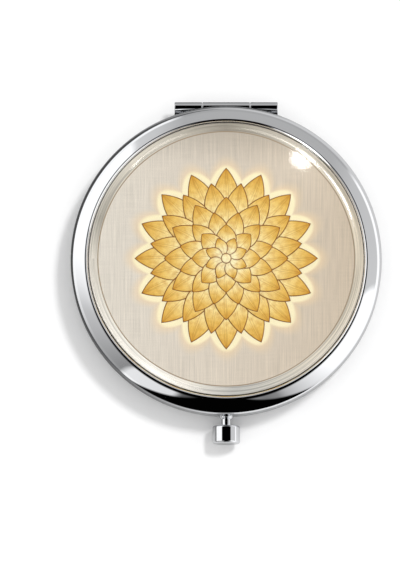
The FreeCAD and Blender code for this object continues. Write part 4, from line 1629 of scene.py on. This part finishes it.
@dataclass(frozen=True)
class Studio:
    """White floor, soft light from the back right, and dark and light walls for the chrome to mirror."""

    floor_half_m: float = 1.5
    floor_drop: float = 0.02
    sky_light: float = 0.83
    lamp_strength: float = 1.18
    lamp_azimuth: float = 42.0
    lamp_height: float = 58.0
    lamp_spread: float = 11.0
    wall_strength: float = 1.2
    walls: Stops = (
        (-180.0, "#EBEBEB"), (-168.0, "#BEBEBE"), (-155.0, "#A8A8A8"), (-139.0, "#858585"),
        (-137.0, "#E4E4E4"), (-115.0, "#DADADA"), (-112.0, "#5C5C5C"), (-96.0, "#242424"),
        (-89.0, "#303030"), (-82.0, "#929292"), (-71.0, "#747474"), (-66.0, "#828282"),
        (-62.0, "#AEAEAE"), (-54.0, "#D0D0D0"), (-40.0, "#FFFFFF"), (-4.0, "#FFFFFF"),
        (-2.0, "#C6C6C6"), (38.0, "#BCBCBC"), (50.0, "#ABABAB"), (104.0, "#A9A9A9"),
        (114.0, "#C2C2C2"), (122.0, "#CACACA"), (125.0, "#FFFFFF"), (170.0, "#FFFFFF"),
        (180.0, "#EBEBEB"),
    )
    low_walls: Stops = (
        (-180.0, "#F4F4F4"), (-168.0, "#D8D8D8"), (-155.0, "#AAAAAA"), (-139.0, "#8E8E8E"),
        (-137.0, "#F2F2F2"), (-100.0, "#F2F2F2"), (-58.0, "#B0B0B0"), (-40.0, "#FFFFFF"),
        (36.0, "#FFFFFF"), (44.0, "#A6A6A6"), (104.0, "#A2A2A2"), (109.0, "#F0F0F0"),
        (170.0, "#FFFFFF"), (180.0, "#F4F4F4"),
    )
    low_edge: Span = (0.17, 0.2)
    ceiling: str = "#020202"
    ceiling_edge: Span = (0.76, 0.82)
    panel_azimuth: float = -92.0
    panel_half: float = 41.0
    panel_taper: float = 34.0
    panel_soft: float = 2.0
    glints: tuple[Glint, ...] = (
        Glint((17.7, 23.8), 90.0, 82.5, (1.5, 1.5), 60.0, distance_mm=20.0),
        Glint((17.7, 23.8), 90.0, 82.5, (2.8, 2.8), 20.0, distance_mm=20.0),
        Glint((17.9, 23.9), 60.0, 62.0, (5.0, 13.0), 30.0),
        Glint((17.9, 23.9), 60.0, 57.0, (16.0, 2.0), 8.0, beam=40.0),
        Glint((13.0, 26.9), 70.0, 54.0, (18.0, 9.0), 4.0, beam=60.0),
        Glint((-13.6, 26.6), 114.0, 55.0, (10.0, 8.0), 4.0, beam=60.0),
        Glint((-20.4, 21.9), 123.0, 59.0, (2.5, 7.0), 14.0),
        Glint((-12.6, -27.1), -121.0, 55.0, (18.0, 15.0), 3.5, beam=60.0),
        Glint((19.0, 25.2), -132.0, 34.0, (5.0, 5.0), 6.0, "lid_cover"),
    )
    softbox: Softbox = Softbox()

    def build(self, finishes: Finishes) -> None:
        """Lay the floor, hang the lamps and put up the walls."""
        self.lay_floor(finishes.paper)
        self.hang_lamp()
        for lamp in (*self.glints, self.softbox):
            lamp.hang()
        self.put_up_walls()

    def lay_floor(self, paper: Finish) -> None:
        """Lay a plain pale floor just under the compact."""
        mesh = bmesh.new()
        bmesh.ops.create_grid(mesh, x_segments=1, y_segments=1, size=self.floor_half_m,
                              matrix=Matrix.Translation((0.0, 0.0, -self.floor_drop * MM)))
        floor = show("floor", mesh)
        floor.data.materials.append(paper.material)

    def hang_lamp(self) -> None:
        """Hang one broad soft lamp, which the metal does not mirror."""
        lamp = bpy.data.lights.new("soft_lamp", "SUN")
        lamp.energy = self.lamp_strength
        lamp.angle = math.radians(self.lamp_spread)
        holder = add_object("soft_lamp", lamp)
        towards = direction(self.lamp_azimuth, self.lamp_height)
        holder.rotation_euler = towards.to_track_quat("Z", "Y").to_euler()
        holder.visible_glossy = False

    def put_up_walls(self) -> None:
        """Set the world: white for the camera, even light for the lit surfaces, walls for the mirrors."""
        world = bpy.data.worlds.new("studio")
        world.use_nodes = True
        world.cycles.sampling_method = "NONE"
        bpy.context.scene.world = world
        tree = world.node_tree
        tree.nodes.clear()
        walled = add_node(tree, "Background", {"Strength": self.wall_strength},
                          {"Color": self.room(tree)})
        even = add_node(tree, "Background", {"Strength": self.sky_light, "Color": WHITE})
        white = add_node(tree, "Background", {"Strength": 1.0, "Color": WHITE})
        rays = add_node(tree, "LightPath")
        shining = add_node(tree, "Math", {"operation": "MAXIMUM"},
                           {0: rays.outputs["Is Glossy Ray"], 1: rays.outputs["Is Transmission Ray"]})
        lit = add_node(tree, "MixShader", None, {0: shining, 1: even, 2: walled})
        seen = add_node(tree, "MixShader", None, {0: rays.outputs["Is Camera Ray"], 1: lit, 2: white})
        add_node(tree, "OutputWorld", None, {"Surface": seen})

    def room(self, tree: NodeTree) -> NodeSocket:
        """Colour the room that the mirrors show: two rows of walls, a dark ceiling and a dark front panel.

        Args:
            tree: The world's nodes.

        Returns:
            The room's colour.
        """
        place = add_node(tree, "TexCoord")
        axes = add_node(tree, "SeparateXYZ", None, {0: place.outputs["Generated"]})
        height = axes.outputs["Z"]
        azimuth = add_node(tree, "Math", {"operation": "ARCTAN2"},
                           {0: axes.outputs["Y"], 1: axes.outputs["X"]})
        share = add_node(tree, "MapRange", {"ranges": ((-math.pi, math.pi), (0.0, 1.0))},
                         {"Value": azimuth})
        rows = []
        for tones in (self.low_walls, self.walls):
            stops = tuple(((degrees + 180.0) / 360.0, tone) for degrees, tone in tones)
            rows.append(add_node(tree, "ValToRGB", {"stops": stops}, {0: share}))
        rise = add_node(tree, "MapRange", {"ranges": (self.low_edge, (0.0, 1.0))}, {"Value": height})
        walls = add_node(tree, "Mix", {"data_type": "RGBA"}, {0: rise, 6: rows[0], 7: rows[1]})
        above = add_node(tree, "MapRange",
                         {"interpolation_type": "SMOOTHSTEP", "ranges": (self.ceiling_edge, (0.0, 1.0))},
                         {"Value": height})
        dark = add_node(tree, "Math", {"operation": "MAXIMUM"},
                        {0: above, 1: self.panel(tree, azimuth.outputs[0], height)})
        room = add_node(tree, "Mix", {"data_type": "RGBA", 7: linear(self.ceiling)},
                        {0: dark, 6: walls.outputs[2]})
        return room.outputs[2]

    def panel(self, tree: NodeTree, azimuth: NodeSocket, height: NodeSocket) -> NodeSocket:
        """Mark the dark panel in front, which narrows upwards.

        Args:
            tree: The world's nodes.
            azimuth: Direction round the room.
            height: Height in the room.

        Returns:
            1 on the panel and 0 beside it.
        """
        aside = add_node(tree, "Math",
                         {"operation": "SUBTRACT", 1: math.radians(self.panel_azimuth)}, {0: azimuth})
        offset = add_node(tree, "Math", {"operation": "ABSOLUTE"}, {0: aside})
        tapered = add_node(tree, "Math",
                           {"operation": "MULTIPLY_ADD", 1: math.radians(self.panel_taper)},
                           {0: height, 2: offset})
        edge = (math.radians(self.panel_half - self.panel_soft),
                math.radians(self.panel_half + self.panel_soft))
        panel = add_node(tree, "MapRange", {"ranges": (edge, (1.0, 0.0))}, {"Value": tapered})
        return panel.outputs[0]


@dataclass(frozen=True)
class PhotoCamera:
    """Long lens almost straight above, with the photograph's framing."""

    picture_width: int = 400
    picture_height: int = 570
    mm_per_pixel: float = 0.2249
    lid_centre_pixel: Point = (226.2, 260.0)
    lid_height: float = 7.6
    front_tilt: float = 7.5
    side_tilt: float = 0.2
    distance: float = 1500.0
    sensor: float = 36.0

    def build(self) -> None:
        """Set the camera up and make it the scene's own."""
        leaning = (math.tan(math.radians(self.side_tilt)), -math.tan(math.radians(self.front_tilt)))
        towards = Vector((*leaning, 1.0)).normalized()
        right = ALONG_Y.cross(towards).normalized()
        up = towards.cross(right)
        aside = (self.picture_width / 2.0 - self.lid_centre_pixel[0]) * self.mm_per_pixel
        down = (self.lid_centre_pixel[1] - self.picture_height / 2.0) * self.mm_per_pixel
        aim = ALONG_Z * self.lid_height + right * aside + up * down
        data = bpy.data.cameras.new("photo_camera")
        data.sensor_width = self.sensor
        data.lens = self.sensor * self.distance / (self.picture_height * self.mm_per_pixel)
        camera = add_object("photo_camera", data)
        turn = Matrix((right, up, towards)).transposed().to_4x4()
        camera.matrix_world = Matrix.Translation((aim + towards * self.distance) * MM) @ turn
        bpy.context.scene.camera = camera


def main() -> None:
    """Build every sub-assembly, then the studio and the camera."""
    logging.basicConfig(level=logging.INFO, format="%(name)s: %(message)s")
    bpy.context.scene.view_settings.view_transform = "Standard"
    finishes = Finishes()
    for assembly in (BaseHalf(), LidHalf(), Rosette(), Hinge(), Latch()):
        LOG.info("building %s", type(assembly).__name__)
        assembly.build(finishes)
    Studio().build(finishes)
    PhotoCamera().build()


if __name__ == "__main__":
    main()
